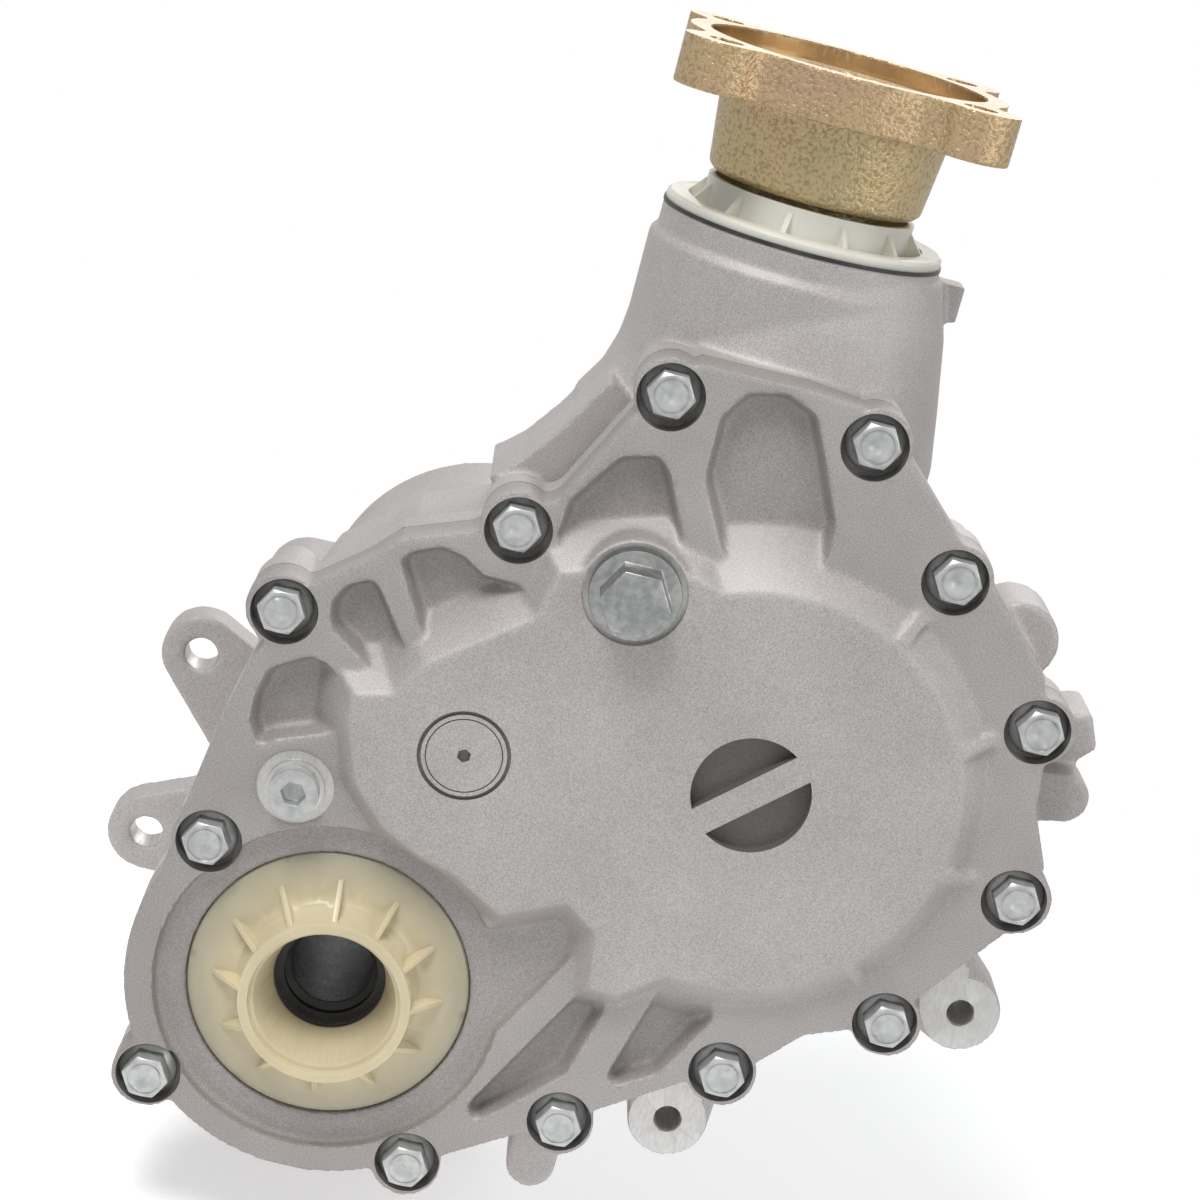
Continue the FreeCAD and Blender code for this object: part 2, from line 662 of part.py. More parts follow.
def plateau_wire(depth, inset):
    """The plateau's edge: the dome's arc, then the corners round the idler lobe."""
    dome = DOME_STAND_OFF - inset
    last = PLATEAU_EDGE[0][2]
    points = [axis.at(stand_off, angle) for axis, stand_off, angle in PLATEAU_EDGE]
    points = inset_points([RING.at(DOME_STAND_OFF, DOME_START)] + points, inset)[1:]
    start = RING.at(dome, DOME_START)
    middle = RING.at(dome, (DOME_START + last) / 2)
    end = RING.at(dome, last)
    corners = [V(end[0], depth, end[1])] + [V(x, depth, z) for x, z in points[1:]]
    edges = [Part.Arc(V(start[0], depth, start[1]), V(middle[0], depth, middle[1]), corners[0]).toShape()]
    for first, second in zip(corners, corners[1:] + [V(start[0], depth, start[1])]):
        edges.append(Part.makeLine(first, second))
    return Part.Wire(edges)


def spots(table):
    return [axis.at(stand_off, angle) for axis, stand_off, angle in table]


def chamber(growth, front, rear, input_radius, idler_radius, ring_radius):
    return hull_y([
        (INPUT.x, INPUT.z, input_radius + growth),
        (IDLER.x, IDLER.z, idler_radius + growth),
        (RING.x, RING.z, ring_radius + growth),
    ], front, rear)


def dome_slope():
    """The long slope under the dome's edge, with its short ribs."""
    crest = RING.reach + DOME_STAND_OFF
    cone = turned([(0, POCKET_FLOOR), (crest + DOME_SLOPE, POCKET_FLOOR), (crest, PLATEAU_HEIGHT),
                   (0, PLATEAU_HEIGHT)])
    ribs = []
    for direction, inner, outer in SLOPE_RIBS:
        start, end = RING.reach + inner, RING.reach + outer
        top = PLATEAU_HEIGHT - SLOPE_RIB_DROP
        profile = [(start, POCKET_FLOOR), (start, top), (crest + 2, top), (end, COVER_THICKNESS),
                   (end, POCKET_FLOOR)]
        ribs += radial_ribs(profile, SLOPE_RIB_WIDTH, 1, direction)
    return along_y(cone.fuse(ribs), RING.x, RING.z, facing_front=True)


def make_cover():
    front = -COVER_THICKNESS
    back = -SEALANT_THICKNESS
    body = outline_block(front, back)
    body = body.fuse([disc_y(x, z, BOSS_RADIUS, front, back) for x, z in spots(COVER_BOLTS)])
    pockets = []
    for path in POCKETS:
        pockets.append(drafted(spots(path), POCKET_CORNER, front, -POCKET_FLOOR, POCKET_DRAFT))
    body = body.cut(pockets).fuse(dome_slope().common(outline_block(-PLATEAU_HEIGHT, back)))
    body = body.cut(drafted(spots(SHELF_RECESS), POCKET_CORNER, -PLATEAU_HEIGHT, -SHELF_HEIGHT, POCKET_DRAFT))
    plateau = Part.makeLoft([
        plateau_wire(-PLATEAU_HEIGHT, 0.0), plateau_wire(-POCKET_FLOOR, -PLATEAU_DRAFT)], True, True)
    level_x, level_z = LEVEL_PLUG[0].at(*LEVEL_PLUG[1:])
    fill_x, fill_z = FILL_PLUG[0].at(*FILL_PLUG[1:])
    body = body.fuse([
        plateau,
        disc_y(fill_x, fill_z, FILL_BOSS_RADIUS, -PLATEAU_HEIGHT, back),
        disc_y(level_x, level_z, LEVEL_PAD_RADIUS, -LEVEL_PAD_HEIGHT, back),
    ])
    hollow_floor = -(PLATEAU_HEIGHT - COVER_WALL)
    hollow = Part.makeLoft([
        plateau_wire(hollow_floor, COVER_WALL), plateau_wire(back, -COVER_WALL)], True, True)
    shelf = disc_y(INPUT.x, INPUT.z, INPUT.reach + SHELF_STAND_OFF, -PLATEAU_HEIGHT, -SHELF_HEIGHT)
    body = body.cut([
        hollow,
        shelf,
        disc_y(fill_x, fill_z, FILL_BOSS_RADIUS - 1, -PLATEAU_HEIGHT, -FILL_BOSS_HEIGHT),
        disc_y(level_x, level_z, LEVEL_PAD_RADIUS, front, -LEVEL_PAD_HEIGHT),
    ])
    bearing_boss = disc_y(RING.x, RING.z, TRANSFER_CUP_RADIUS + BEARING_WALL, hollow_floor - 1, back)
    pin_boss = disc_y(IDLER.x, IDLER.z, IDLER_HUB_RADIUS + 1, hollow_floor - 1, -THRUST_WASHER_THICKNESS)
    fill_boss = disc_y(fill_x, fill_z, FILL_BOSS_RADIUS, -FILL_BOSS_HEIGHT, back)
    boss_rear = INPUT_FRONT_BEARING + INPUT_BEARING_WIDTH + 3
    input_boss = disc_y(INPUT.x, INPUT.z, INPUT_BOSS_RADIUS, -SHELF_HEIGHT, boss_rear)
    body = body.fuse([bearing_boss, pin_boss, fill_boss, input_boss])
    cuts = [
        disc_y(RING.x, RING.z, TRANSFER_CUP_RADIUS, -BEARING_POCKET_FLOOR, 1),
        disc_y(IDLER.x, IDLER.z, IDLER_PIN_RADIUS, -PLATEAU_HEIGHT, 1),
        tube_y(IDLER.x, IDLER.z, PIN_RING_RADIUS, PIN_RING_RADIUS - PIN_RING_WIDTH,
               -PLATEAU_HEIGHT, -PLATEAU_HEIGHT + PIN_RING_DEPTH),
        disc_y(INPUT.x, INPUT.z, PLUG_BORE_RADIUS, front, -PLUG_BORE_FLOOR),
        disc_y(INPUT.x, INPUT.z, INPUT_CUP_RADIUS, front, boss_rear + 1),
        disc_y(fill_x, fill_z, FILL_PLUG_RADIUS, -PLATEAU_HEIGHT, 1),
        disc_y(level_x, level_z, LEVEL_PLUG_RADIUS, front, 1),
    ]
    for x, z in spots(COVER_BOLTS):
        cuts.append(disc_y(x, z, COUNTERBORE_RADIUS, front, -BOLT_SEAT_HEIGHT))
        cuts.append(disc_y(x, z, BOLT_HOLE_RADIUS, front, 1))
    for x, z in spots(COVER_DOWELS):
        cuts.append(disc_y(x, z, DOWEL_RADIUS, -DOWEL_LENGTH / 2, 1))
    slot = disc_y(RING.x, RING.z, SLOT_RADIUS, -PLATEAU_HEIGHT, -PLATEAU_HEIGHT + SLOT_DEPTH)
    bar = Part.makeBox(4 * SLOT_RADIUS, 2 * SLOT_DEPTH, SLOT_BAR_WIDTH,
                       V(-2 * SLOT_RADIUS, 0, -SLOT_BAR_WIDTH / 2))
    bar.rotate(V(0, 0, 0), FRONT_TO_REAR, -SLOT_BAR_ANGLE)
    bar.translate(V(RING.x, -PLATEAU_HEIGHT, RING.z))
    return body.cut(cuts).cut(slot.cut(bar))


def make_sealant():
    bead = outline_block(-SEALANT_THICKNESS, 0).cut(outline_block(-1, 1, 2 * CASE_WALL))
    bead = bead.fuse([disc_y(x, z, BOSS_RADIUS, -SEALANT_THICKNESS, 0) for x, z in spots(COVER_BOLTS)])
    holes = [disc_y(x, z, BOLT_HOLE_RADIUS, -1, 1) for x, z in spots(COVER_BOLTS)]
    holes += [disc_y(x, z, DOWEL_RADIUS + 0.5, -1, 1) for x, z in spots(COVER_DOWELS)]
    fill_x, fill_z = FILL_PLUG[0].at(*FILL_PLUG[1:])
    holes.append(disc_y(fill_x, fill_z, FILL_PLUG_RADIUS + 1, -1, 1))
    return bead.cut(holes)


def front_cavity(front, rear):
    """The hollow that the ring gear and the shafts pass through."""
    return chamber(0.0, front, rear, INPUT.reach + 5, IDLER.reach + 12, RING.reach + 6)


def gear_chamber(growth, front, rear):
    """The narrower hollow round the three spur gears at the back."""
    radii = [axis_reach + CHAMBER_GAP for axis_reach in
             (INPUT.reach, IDLER.reach, tip_radius(DRIVEN_TEETH))]
    return chamber(growth, front, rear, *radii)


def make_case():
    back = CASE_DEPTH - REAR_WALL_INSET
    bolt_spots = spots(COVER_BOLTS)
    tapped = spots(TAPPED_LUGS)
    shell = outline_block(0, CASE_FLANGE_DEPTH)
    shell = shell.fuse([disc_y(x, z, BOSS_RADIUS, 0, CASE_FLANGE_DEPTH) for x, z in bolt_spots])
    body = [
        outline_block(CASE_FLANGE_DEPTH, FRONT_BODY_DEPTH, CASE_WALL),
        gear_chamber(CASE_WALL, FRONT_BODY_DEPTH - 1, back),
        make_neck(),
        disc_y(RING.x, RING.z, TRANSFER_CUP_RADIUS + BEARING_WALL, back - 20, rear_bearing_end() + 5),
        disc_y(INPUT.x, INPUT.z, PILOT_SEAT_RADIUS, back - 1, CASE_DEPTH),
        disc_y(INPUT.x, INPUT.z, PILOT_RADIUS, back - 1, CASE_DEPTH + PILOT_LENGTH),
        disc_y(IDLER.x, IDLER.z, IDLER_HUB_RADIUS, back - 1, CASE_DEPTH),
    ]
    for x, z in tapped:
        body.append(lug_y((x, z), TAPPED_LUG_RADIUS, RING.at(22, degrees(atan2(z - RING.z, x - RING.x))),
                          TAPPED_LUG_RADIUS + 4, 0, TAPPED_LUG_DEPTH))
    for x, z in spots(TRANSAXLE_LUGS):
        body.append(lug_y((x, z), LUG_RADIUS, (x / 2, z / 2), LUG_ROOT_RADIUS,
                          CASE_DEPTH - LUG_THICKNESS, CASE_DEPTH))
    body += side_bosses()
    body += rear_ribs()
    shell = shell.fuse(body)
    hollow = front_cavity(-1, FRONT_BODY_DEPTH - CASE_WALL)
    hollow = hollow.common(outline_block(-1, FRONT_BODY_DEPTH, 2 * CASE_WALL))
    shell = shell.cut([hollow, gear_chamber(0.0, FRONT_BODY_DEPTH - CASE_WALL - 1, HUB_REAR)])
    shell = shell.fuse([disc_y(x, z, BOSS_RADIUS - 2, 0, BOSS_DEPTH) for x, z in bolt_spots])
    shell = shell.fuse(pinion_tube())
    return shell.cut(case_bores(bolt_spots, tapped))


def rear_bearing_end():
    return HUB_REAR + TRANSFER_BEARING_WIDTH + SHIM_THICKNESS


def lug_y(end, end_radius, root, root_radius, front, rear):
    """A flat lug from a root circle out to its end circle."""
    first = (root[0], root[1], root_radius)
    second = (end[0], end[1], end_radius)
    parts = [disc_y(x, z, r, front, rear) for x, z, r in (first, second)]
    return parts[0].fuse([parts[1], belt_y(first, second, front, rear)])


def side_bosses():
    """Cast bosses that stand out beside, above and below the cover."""
    bosses = []
    for start, end, radius, front, rear in SIDE_BOSSES:
        first = start[0].at(*start[1:])
        second = end[0].at(*end[1:])
        bosses.append(lug_y(first, radius, second, radius + 1, front, rear))
    bosses.append(prism_y(spots(SIDE_BLOCK), *SIDE_BLOCK_DEPTHS))
    bosses.append(prism_y(spots(SHOULDER), *SHOULDER_DEPTHS))
    tab_corner = V(OUTPUT_X + NECK_RADIUS - 4, OUTPUT_DEPTH, NECK_TOP - NECK_TAB_DROP)
    bosses.append(Part.makeBox(*NECK_TAB_SIZE, tab_corner))
    return bosses


def rear_ribs():
    """Ribs that tie the rear bearing bosses, the mounting lugs and the neck together."""
    ribs = []
    for start, end, front, rear in REAR_RIBS:
        first = start[0].at(*start[1:])
        second = end[0].at(*end[1:])
        ribs.append(lug_y(first, RIB_THICKNESS / 2, second, RIB_THICKNESS / 2 + RIB_ROOT_SPREAD,
                          CASE_DEPTH - front, CASE_DEPTH - rear))
    for x in (OUTPUT_X - 24, OUTPUT_X + 24):
        corners = [V(x, OUTPUT_DEPTH, NECK_TOP - 30), V(x, OUTPUT_DEPTH + NECK_RADIUS - 6, NECK_TOP - 30),
                   V(x, CASE_DEPTH - 12, RING.z + 40), V(x, OUTPUT_DEPTH, RING.z + 40)]
        web = Part.Face(Part.makePolygon(corners + corners[:1])).extrude(V(RIB_THICKNESS, 0, 0))
        ribs.append(web)
    return ribs


def make_neck():
    """The flared neck round the pinion bearings, fuller on its right, cut off at the joint plane."""
    foot = RING.z + GEAR_CLOSURE_RISE
    shoulder = PINION_BEARING_Z
    left = [(0, foot), (NECK_RADIUS, foot), (NECK_RADIUS + 13, shoulder), (NECK_RADIUS + 12, NECK_TOP - 66),
            (NECK_RADIUS + 6, NECK_TOP - 56), (NECK_RADIUS + 3, NECK_TOP - 46), (NECK_RADIUS + 1, NECK_TOP - 27),
            (NECK_RADIUS, NECK_TOP - 15), (NECK_RADIUS, NECK_TOP), (0, NECK_TOP)]
    right = [(0, shoulder - 15), (NECK_RADIUS + 10, shoulder - 15), (NECK_RADIUS + 10, NECK_TOP - 62),
             (NECK_RADIUS + 7, NECK_TOP - 45), (NECK_RADIUS + 2.5, NECK_TOP - 22), (NECK_RADIUS - 3, NECK_TOP - 4),
             (0, NECK_TOP - 4)]
    fuller = on_output(turned(right))
    fuller.translate(V(NECK_SHIFT, 0, 0))
    behind = Part.makeBox(400, 200, 400, V(-150, 0, 0))
    return on_output(turned(left)).fuse(fuller).common(behind)


def pinion_tube():
    outer = PINION_INNER_CUP + BEARING_WALL
    tube = disc_z(OUTPUT_X, OUTPUT_DEPTH, outer, PINION_BEARING_Z - 1.0, NECK_TOP - 10)
    clearance = disc_y(RING.x, RING.z, RING_RADIUS + 3, -1, OUTPUT_DEPTH)
    return tube.cut(clearance)


def case_bores(bolt_spots, tapped):
    """Everything that is bored or drilled after casting."""
    x, y = OUTPUT_X, OUTPUT_DEPTH
    pilot_end = CASE_DEPTH + PILOT_LENGTH
    cup_end = HUB_REAR + INPUT_BEARING_WIDTH
    bores = [
        disc_z(x, y, PINION_INNER_CUP - 5, RING.z, NECK_TOP),
        disc_z(x, y, PINION_INNER_CUP, RING.z, PINION_BEARING_Z + PINION_INNER_WIDTH + SHIM_THICKNESS),
        disc_z(x, y, PINION_OUTER_CUP, OUTER_BEARING_Z, NECK_TOP),
        disc_z(x, y, SHIELD_SPIGOT_RADIUS, NECK_TOP - SHIELD_SPIGOT_DEPTH, NECK_TOP + 1),
        disc_y(RING.x, RING.z, TRANSFER_CUP_RADIUS, HUB_REAR - 1, rear_bearing_end()),
        disc_y(INPUT.x, INPUT.z, INPUT_CUP_RADIUS, HUB_REAR - 1, cup_end),
        disc_y(INPUT.x, INPUT.z, INPUT_CUP_RADIUS - 5, HUB_REAR, pilot_end),
        disc_y(INPUT.x, INPUT.z, INPUT_CUP_RADIUS, pilot_end - SEAL_WIDTH - 1, pilot_end),
        disc_y(IDLER.x, IDLER.z, IDLER_PIN_RADIUS, HUB_REAR - 1, CASE_DEPTH - PIN_INSET),
        tube_y(INPUT.x, INPUT.z, PILOT_GROOVE_RADIUS, PILOT_RADIUS,
               CASE_DEPTH - PILOT_GROOVE_DEPTH, CASE_DEPTH + 1),
    ]
    for bx, bz in bolt_spots:
        bores.append(disc_y(bx, bz, BOLT_RADIUS, -1, BOLT_REACH + 4))
    for bx, bz in spots(COVER_DOWELS):
        bores.append(disc_y(bx, bz, DOWEL_RADIUS, -1, DOWEL_LENGTH / 2))
    for bx, bz in tapped:
        bores.append(disc_y(bx, bz, TAPPED_HOLE_RADIUS, -1, TAPPED_HOLE_DEPTH))
    for bx, bz in spots(TRANSAXLE_LUGS):
        bores.append(disc_y(bx, bz, LUG_HOLE_RADIUS, CASE_DEPTH - 2 * LUG_THICKNESS, CASE_DEPTH + 1))
    return bores


def cover_bolt():
    """One flanged hex bolt along +Z, head down to -Z, seated at zero."""
    hexagon_top = -BOLT_HEAD_HEIGHT
    head = hexagon(BOLT_HEX, hexagon_top, 0)
    crown = turned([(0, hexagon_top), (BOLT_HEX / 2 - 0.4, hexagon_top), (BOLT_HEX / 2 + 1.2, hexagon_top + 1.1),
                    (BOLT_HEX / 2 + 1.2, 0), (0, 0)])
    washer = turned([(0, 0), (BOLT_FLANGE_RADIUS, 0), (BOLT_FLANGE_RADIUS, -0.9),
                     (BOLT_HEX / 2, -BOLT_FLANGE_HEIGHT), (0, -BOLT_FLANGE_HEIGHT)])
    dimple = Part.makeSphere(5.0, V(0, 0, hexagon_top - 4.2))
    shank = Part.makeCylinder(BOLT_RADIUS, BOLT_SEAT_HEIGHT + BOLT_REACH)
    return head.common(crown).fuse([washer, shank]).cut(dimple)


def make_cover_bolts():
    bolt = cover_bolt()
    return Part.makeCompound([along_y(bolt, x, z, -BOLT_SEAT_HEIGHT) for x, z in spots(COVER_BOLTS)])


def make_dowels():
    half = DOWEL_LENGTH / 2
    return Part.makeCompound([tube_y(x, z, DOWEL_RADIUS, DOWEL_RADIUS - 1.5, -half, half)
                              for x, z in spots(COVER_DOWELS)])


def make_fill_plug():
    collar = WASHER_THICKNESS + FILL_PLUG_COLLAR_HEIGHT
    plug = Part.makeCylinder(FILL_PLUG_RADIUS, FILL_BOSS_HEIGHT - 4)
    neck = Part.makeCylinder(FILL_PLUG_RADIUS, WASHER_THICKNESS, V(0, 0, -WASHER_THICKNESS))
    disc = Part.makeCylinder(FILL_PLUG_COLLAR, FILL_PLUG_COLLAR_HEIGHT, V(0, 0, -collar))
    head = hexagon(FILL_PLUG_HEX, -collar - FILL_PLUG_HEX_HEIGHT, -collar)
    x, z = FILL_PLUG[0].at(*FILL_PLUG[1:])
    return along_y(plug.fuse([neck, disc, head]), x, z, -FILL_BOSS_HEIGHT)


def make_fill_washer():
    x, z = FILL_PLUG[0].at(*FILL_PLUG[1:])
    return tube_y(x, z, FILL_PLUG_COLLAR - 0.5, FILL_PLUG_RADIUS, -FILL_BOSS_HEIGHT - WASHER_THICKNESS,
                  -FILL_BOSS_HEIGHT)


def make_level_plug():
    top = -WASHER_THICKNESS - LEVEL_PLUG_HEAD_HEIGHT
    shank = Part.makeCylinder(LEVEL_PLUG_RADIUS, LEVEL_PAD_HEIGHT - 1 + WASHER_THICKNESS,
                              V(0, 0, -WASHER_THICKNESS))
    head = Part.makeCylinder(LEVEL_PLUG_HEAD_RADIUS, LEVEL_PLUG_HEAD_HEIGHT, V(0, 0, top))
    socket = hexagon(LEVEL_PLUG_SOCKET, top, top + LEVEL_PLUG_HEAD_HEIGHT - 1)
    x, z = LEVEL_PLUG[0].at(*LEVEL_PLUG[1:])
    return along_y(head.cut(socket).fuse(shank), x, z, -LEVEL_PAD_HEIGHT)


def make_level_washer():
    x, z = LEVEL_PLUG[0].at(*LEVEL_PLUG[1:])
    return tube_y(x, z, LEVEL_PLUG_HEAD_RADIUS + 1.2, LEVEL_PLUG_RADIUS,
                  -LEVEL_PAD_HEIGHT - WASHER_THICKNESS, -LEVEL_PAD_HEIGHT)


def make_input_plug():
    """The nylon plug: a domed face, a collar with a ledge and a funnel in it, and ribs round the collar."""
    rim = PLUG_BORE_RADIUS - PLUG_CLEARANCE
    collar, top, face = PLUG_COLLAR_RADIUS, PLUG_COLLAR_HEIGHT, PLUG_FACE_HEIGHT
    ledge = top - PLUG_LEDGE_DROP
    profile = [(PLUG_HOLE_RADIUS, 0), (rim, 0), (rim, PLUG_RIM_HEIGHT), (rim - 0.8, face - 1.8),
               (rim - 3.0, face - 0.5), (collar + 4.5, face), (collar + 1.5, face + 1.5), (collar, face + 4.5),
               (collar, top), (collar - PLUG_COLLAR_WALL, top), (collar - PLUG_COLLAR_WALL, ledge),
               (PLUG_LEDGE_RADIUS, ledge), (PLUG_HOLE_RADIUS, WASHER_THICKNESS)]
    root = collar - PLUG_COLLAR_WALL / 2
    rib_profile = [(root, face - 2), (PLUG_RIB_REACH, face - 2), (PLUG_RIB_REACH, face), (collar, ledge),
                   (root, ledge)]
    plug = turned(profile).fuse(radial_ribs(rib_profile, PLUG_RIB_THICKNESS, PLUG_RIBS, PLUG_TURN))
    return along_y(plug, INPUT.x, INPUT.z, -PLUG_BORE_FLOOR - PLUG_CLEARANCE, facing_front=True)


def radial_ribs(profile, thickness, count, turn):
    """Copies of a (radius, height) outline, made thickness wide and set round +Z."""
    points = [V(radius, -thickness / 2, height) for radius, height in profile]
    rib = Part.Face(Part.makePolygon(points + points[:1])).extrude(V(0, thickness, 0))
    ribs = []
    for k in range(count):
        copy = rib.copy()
        copy.rotate(V(0, 0, 0), V(0, 0, 1), 360 * k / count + turn)
        ribs.append(copy)
    return ribs


def make_input_shaft():
    front = -1.0
    first_end = INPUT_FRONT_BEARING + INPUT_BEARING_WIDTH
    rear_end = HUB_REAR + INPUT_BEARING_WIDTH
    stub_end = CASE_DEPTH + INPUT_STUB_LENGTH
    spline_start = stub_end - INPUT_SPLINE_LENGTH
    profile = [(INPUT_BORE_RADIUS + 2, front), (INPUT_JOURNAL_RADIUS, front), (INPUT_JOURNAL_RADIUS, first_end),
               (INPUT_TUBE_RADIUS, first_end), (INPUT_TUBE_RADIUS, HUB_FRONT), (INPUT_SEAT_RADIUS, HUB_FRONT),
               (INPUT_SEAT_RADIUS, HUB_REAR), (INPUT_JOURNAL_RADIUS, HUB_REAR), (INPUT_JOURNAL_RADIUS, rear_end),
               (INPUT_STUB_RADIUS, rear_end), (INPUT_STUB_RADIUS, spline_start),
               (INPUT_BORE_RADIUS, spline_start), (INPUT_BORE_RADIUS, front + SEAL_WIDTH + 2),
               (INPUT_BORE_RADIUS + 2, front + SEAL_WIDTH + 2)]
    stub = splined(INPUT_STUB_RADIUS, SPLINE_DEPTH, INPUT_SPLINE_COUNT, spline_start, stub_end)
    stub = stub.cut(Part.makeCylinder(INPUT_BORE_RADIUS, INPUT_SPLINE_LENGTH, V(0, 0, spline_start)))
    return along_y(turned(profile).fuse(stub), INPUT.x, INPUT.z)


def make_halfshaft_seal():
    outer = INPUT_BORE_RADIUS + 2
    seal = turned([(outer, 1), (outer, 1 + SEAL_WIDTH - 1), (14.6, SEAL_WIDTH), (13.0, SEAL_WIDTH - 3),
                   (13.0, SEAL_WIDTH - 4), (15.0, 3.5), (15.0, 1)])
    return along_y(seal, INPUT.x, INPUT.z)


def make_gear(axis, teeth, phase, bore):
    hub_radius = bore + 7
    gear = spur_gear(axis, teeth, phase, GEAR_FRONT, GEAR_REAR)
    hub = disc_y(axis.x, axis.z, hub_radius, HUB_FRONT, HUB_REAR)
    rim = MODULE * (teeth / 2 - 1.25) - 5
    dishes = [
        tube_y(axis.x, axis.z, rim, hub_radius, GEAR_FRONT, GEAR_FRONT + 5),
        tube_y(axis.x, axis.z, rim, hub_radius, GEAR_REAR - 5, GEAR_REAR),
    ]
    return gear.cut(dishes).fuse(hub).cut(disc_y(axis.x, axis.z, bore, HUB_FRONT, HUB_REAR))


def make_idler_gear():
    axis = IDLER
    gear = spur_gear(axis, IDLER_TEETH, idler_phase(), GEAR_FRONT, GEAR_REAR)
    hub = disc_y(axis.x, axis.z, IDLER_HUB_RADIUS, 0, GEAR_REAR)
    dish = tube_y(axis.x, axis.z, MODULE * IDLER_TEETH / 2 - 8, IDLER_HUB_RADIUS, GEAR_FRONT, GEAR_FRONT + 6)
    return gear.cut(dish).fuse(hub).cut(disc_y(axis.x, axis.z, needle_track(), 0, GEAR_REAR))


def needle_track():
    return IDLER_PIN_RADIUS + 2 * NEEDLE_RADIUS + 2 * NEEDLE_CLEARANCE


def make_needles(front):
    circle = IDLER_PIN_RADIUS + NEEDLE_CLEARANCE + NEEDLE_RADIUS
    needles = []
    for k in range(NEEDLE_COUNT):
        angle = 2 * pi * k / NEEDLE_COUNT
        needles.append(disc_y(IDLER.x + circle * cos(angle), IDLER.z + circle * sin(angle), NEEDLE_RADIUS,
                              front, front + NEEDLE_LENGTH))
    return Part.makeCompound(needles)


def make_idler_pin():
    front = -PLATEAU_HEIGHT
    pin = disc_y(IDLER.x, IDLER.z, IDLER_PIN_RADIUS, front, CASE_DEPTH - PIN_INSET)
    groove_front = front + 5
    groove = tube_y(IDLER.x, IDLER.z, IDLER_PIN_RADIUS, IDLER_PIN_RADIUS - 1.6, groove_front, groove_front + 2.4)
    dimple = disc_y(IDLER.x, IDLER.z, 3.0, front, front + 1.5)
    return pin.cut([groove, dimple])


def make_pin_o_ring():
    middle = -PLATEAU_HEIGHT + 5 + 1.2
    ring = Part.makeTorus(IDLER_PIN_RADIUS - 0.8, 0.8)
    return along_y(ring, IDLER.x, IDLER.z, middle)


def make_thrust_washer(front):
    return tube_y(IDLER.x, IDLER.z, IDLER_HUB_RADIUS - 0.5, IDLER_PIN_RADIUS + 0.2, front + 0.1,
                  front + THRUST_WASHER_THICKNESS - 0.1)


def idler_phase():
    """Turn the idler so that a space meets the input gear's tooth on their line of centres."""
    return IDLER_DIRECTION + 180 + 180 / IDLER_TEETH


def driven_phase():
    """Turn the driven gear into mesh with the idler tooth that lies nearest their line of centres."""
    pitch = 360 / IDLER_TEETH
    offset = (idler_phase() - RING_DIRECTION) / pitch
    lead = (offset - ceil(offset - 0.5)) * pitch
    return RING_DIRECTION + 180 + 180 / DRIVEN_TEETH - lead * IDLER_TEETH / DRIVEN_TEETH


def make_transfer_shaft():
    front = -BEARING_POCKET_FLOOR + SHIM_THICKNESS
    first_end = front + TRANSFER_BEARING_WIDTH
    flange_rear = RING_BACK
    rear_end = HUB_REAR + TRANSFER_BEARING_WIDTH
    profile = [(0, front), (TRANSFER_JOURNAL_RADIUS, front), (TRANSFER_JOURNAL_RADIUS, first_end),
               (TRANSFER_SEAT_RADIUS, first_end), (TRANSFER_SEAT_RADIUS, TRANSFER_FLANGE_FRONT),
               (TRANSFER_FLANGE_RADIUS, TRANSFER_FLANGE_FRONT), (TRANSFER_FLANGE_RADIUS, flange_rear),
               (RING_BORE_RADIUS, flange_rear), (RING_BORE_RADIUS, flange_rear + 12),
               (TRANSFER_BODY_RADIUS, flange_rear + 14), (TRANSFER_BODY_RADIUS, HUB_FRONT),
               (TRANSFER_SEAT_RADIUS, HUB_FRONT), (TRANSFER_SEAT_RADIUS, HUB_REAR),
               (TRANSFER_JOURNAL_RADIUS, HUB_REAR), (TRANSFER_JOURNAL_RADIUS, rear_end), (0, rear_end)]
    shaft = along_y(turned(profile), RING.x, RING.z)
    holes = [disc_y(x, z, BOLT_RADIUS, TRANSFER_FLANGE_FRONT, flange_rear) for x, z in ring_bolt_spots()]
    return shaft.cut(holes)


def ring_bolt_spots():
    angles = [2 * pi * k / RING_BOLT_COUNT for k in range(RING_BOLT_COUNT)]
    return [(RING.x + RING_BOLT_CIRCLE * cos(a), RING.z + RING_BOLT_CIRCLE * sin(a)) for a in angles]


def make_ring_bolts():
    bolts = []
    for x, z in ring_bolt_spots():
        front = TRANSFER_FLANGE_FRONT
        head = along_y(hexagon(BOLT_HEX, -RING_BOLT_HEAD_HEIGHT, 0), x, z, front)
        bolts.append(head.fuse(disc_y(x, z, BOLT_RADIUS, front, RING_BACK + RING_BOLT_REACH)))
    return Part.makeCompound(bolts)


def pinion_pitch_radius(station):
    """Pitch radius of the pinion at a height above the ring's axis."""
    return PINION_TEETH / RING_TEETH * (station + HYPOID_OFFSET ** 2 / station)


def ring_pitch_depth(radius):
    """Depth of the ring's pitch surface at a radius from its axis."""
    return OUTPUT_DEPTH - pinion_pitch_radius(sqrt(radius ** 2 - HYPOID_OFFSET ** 2))


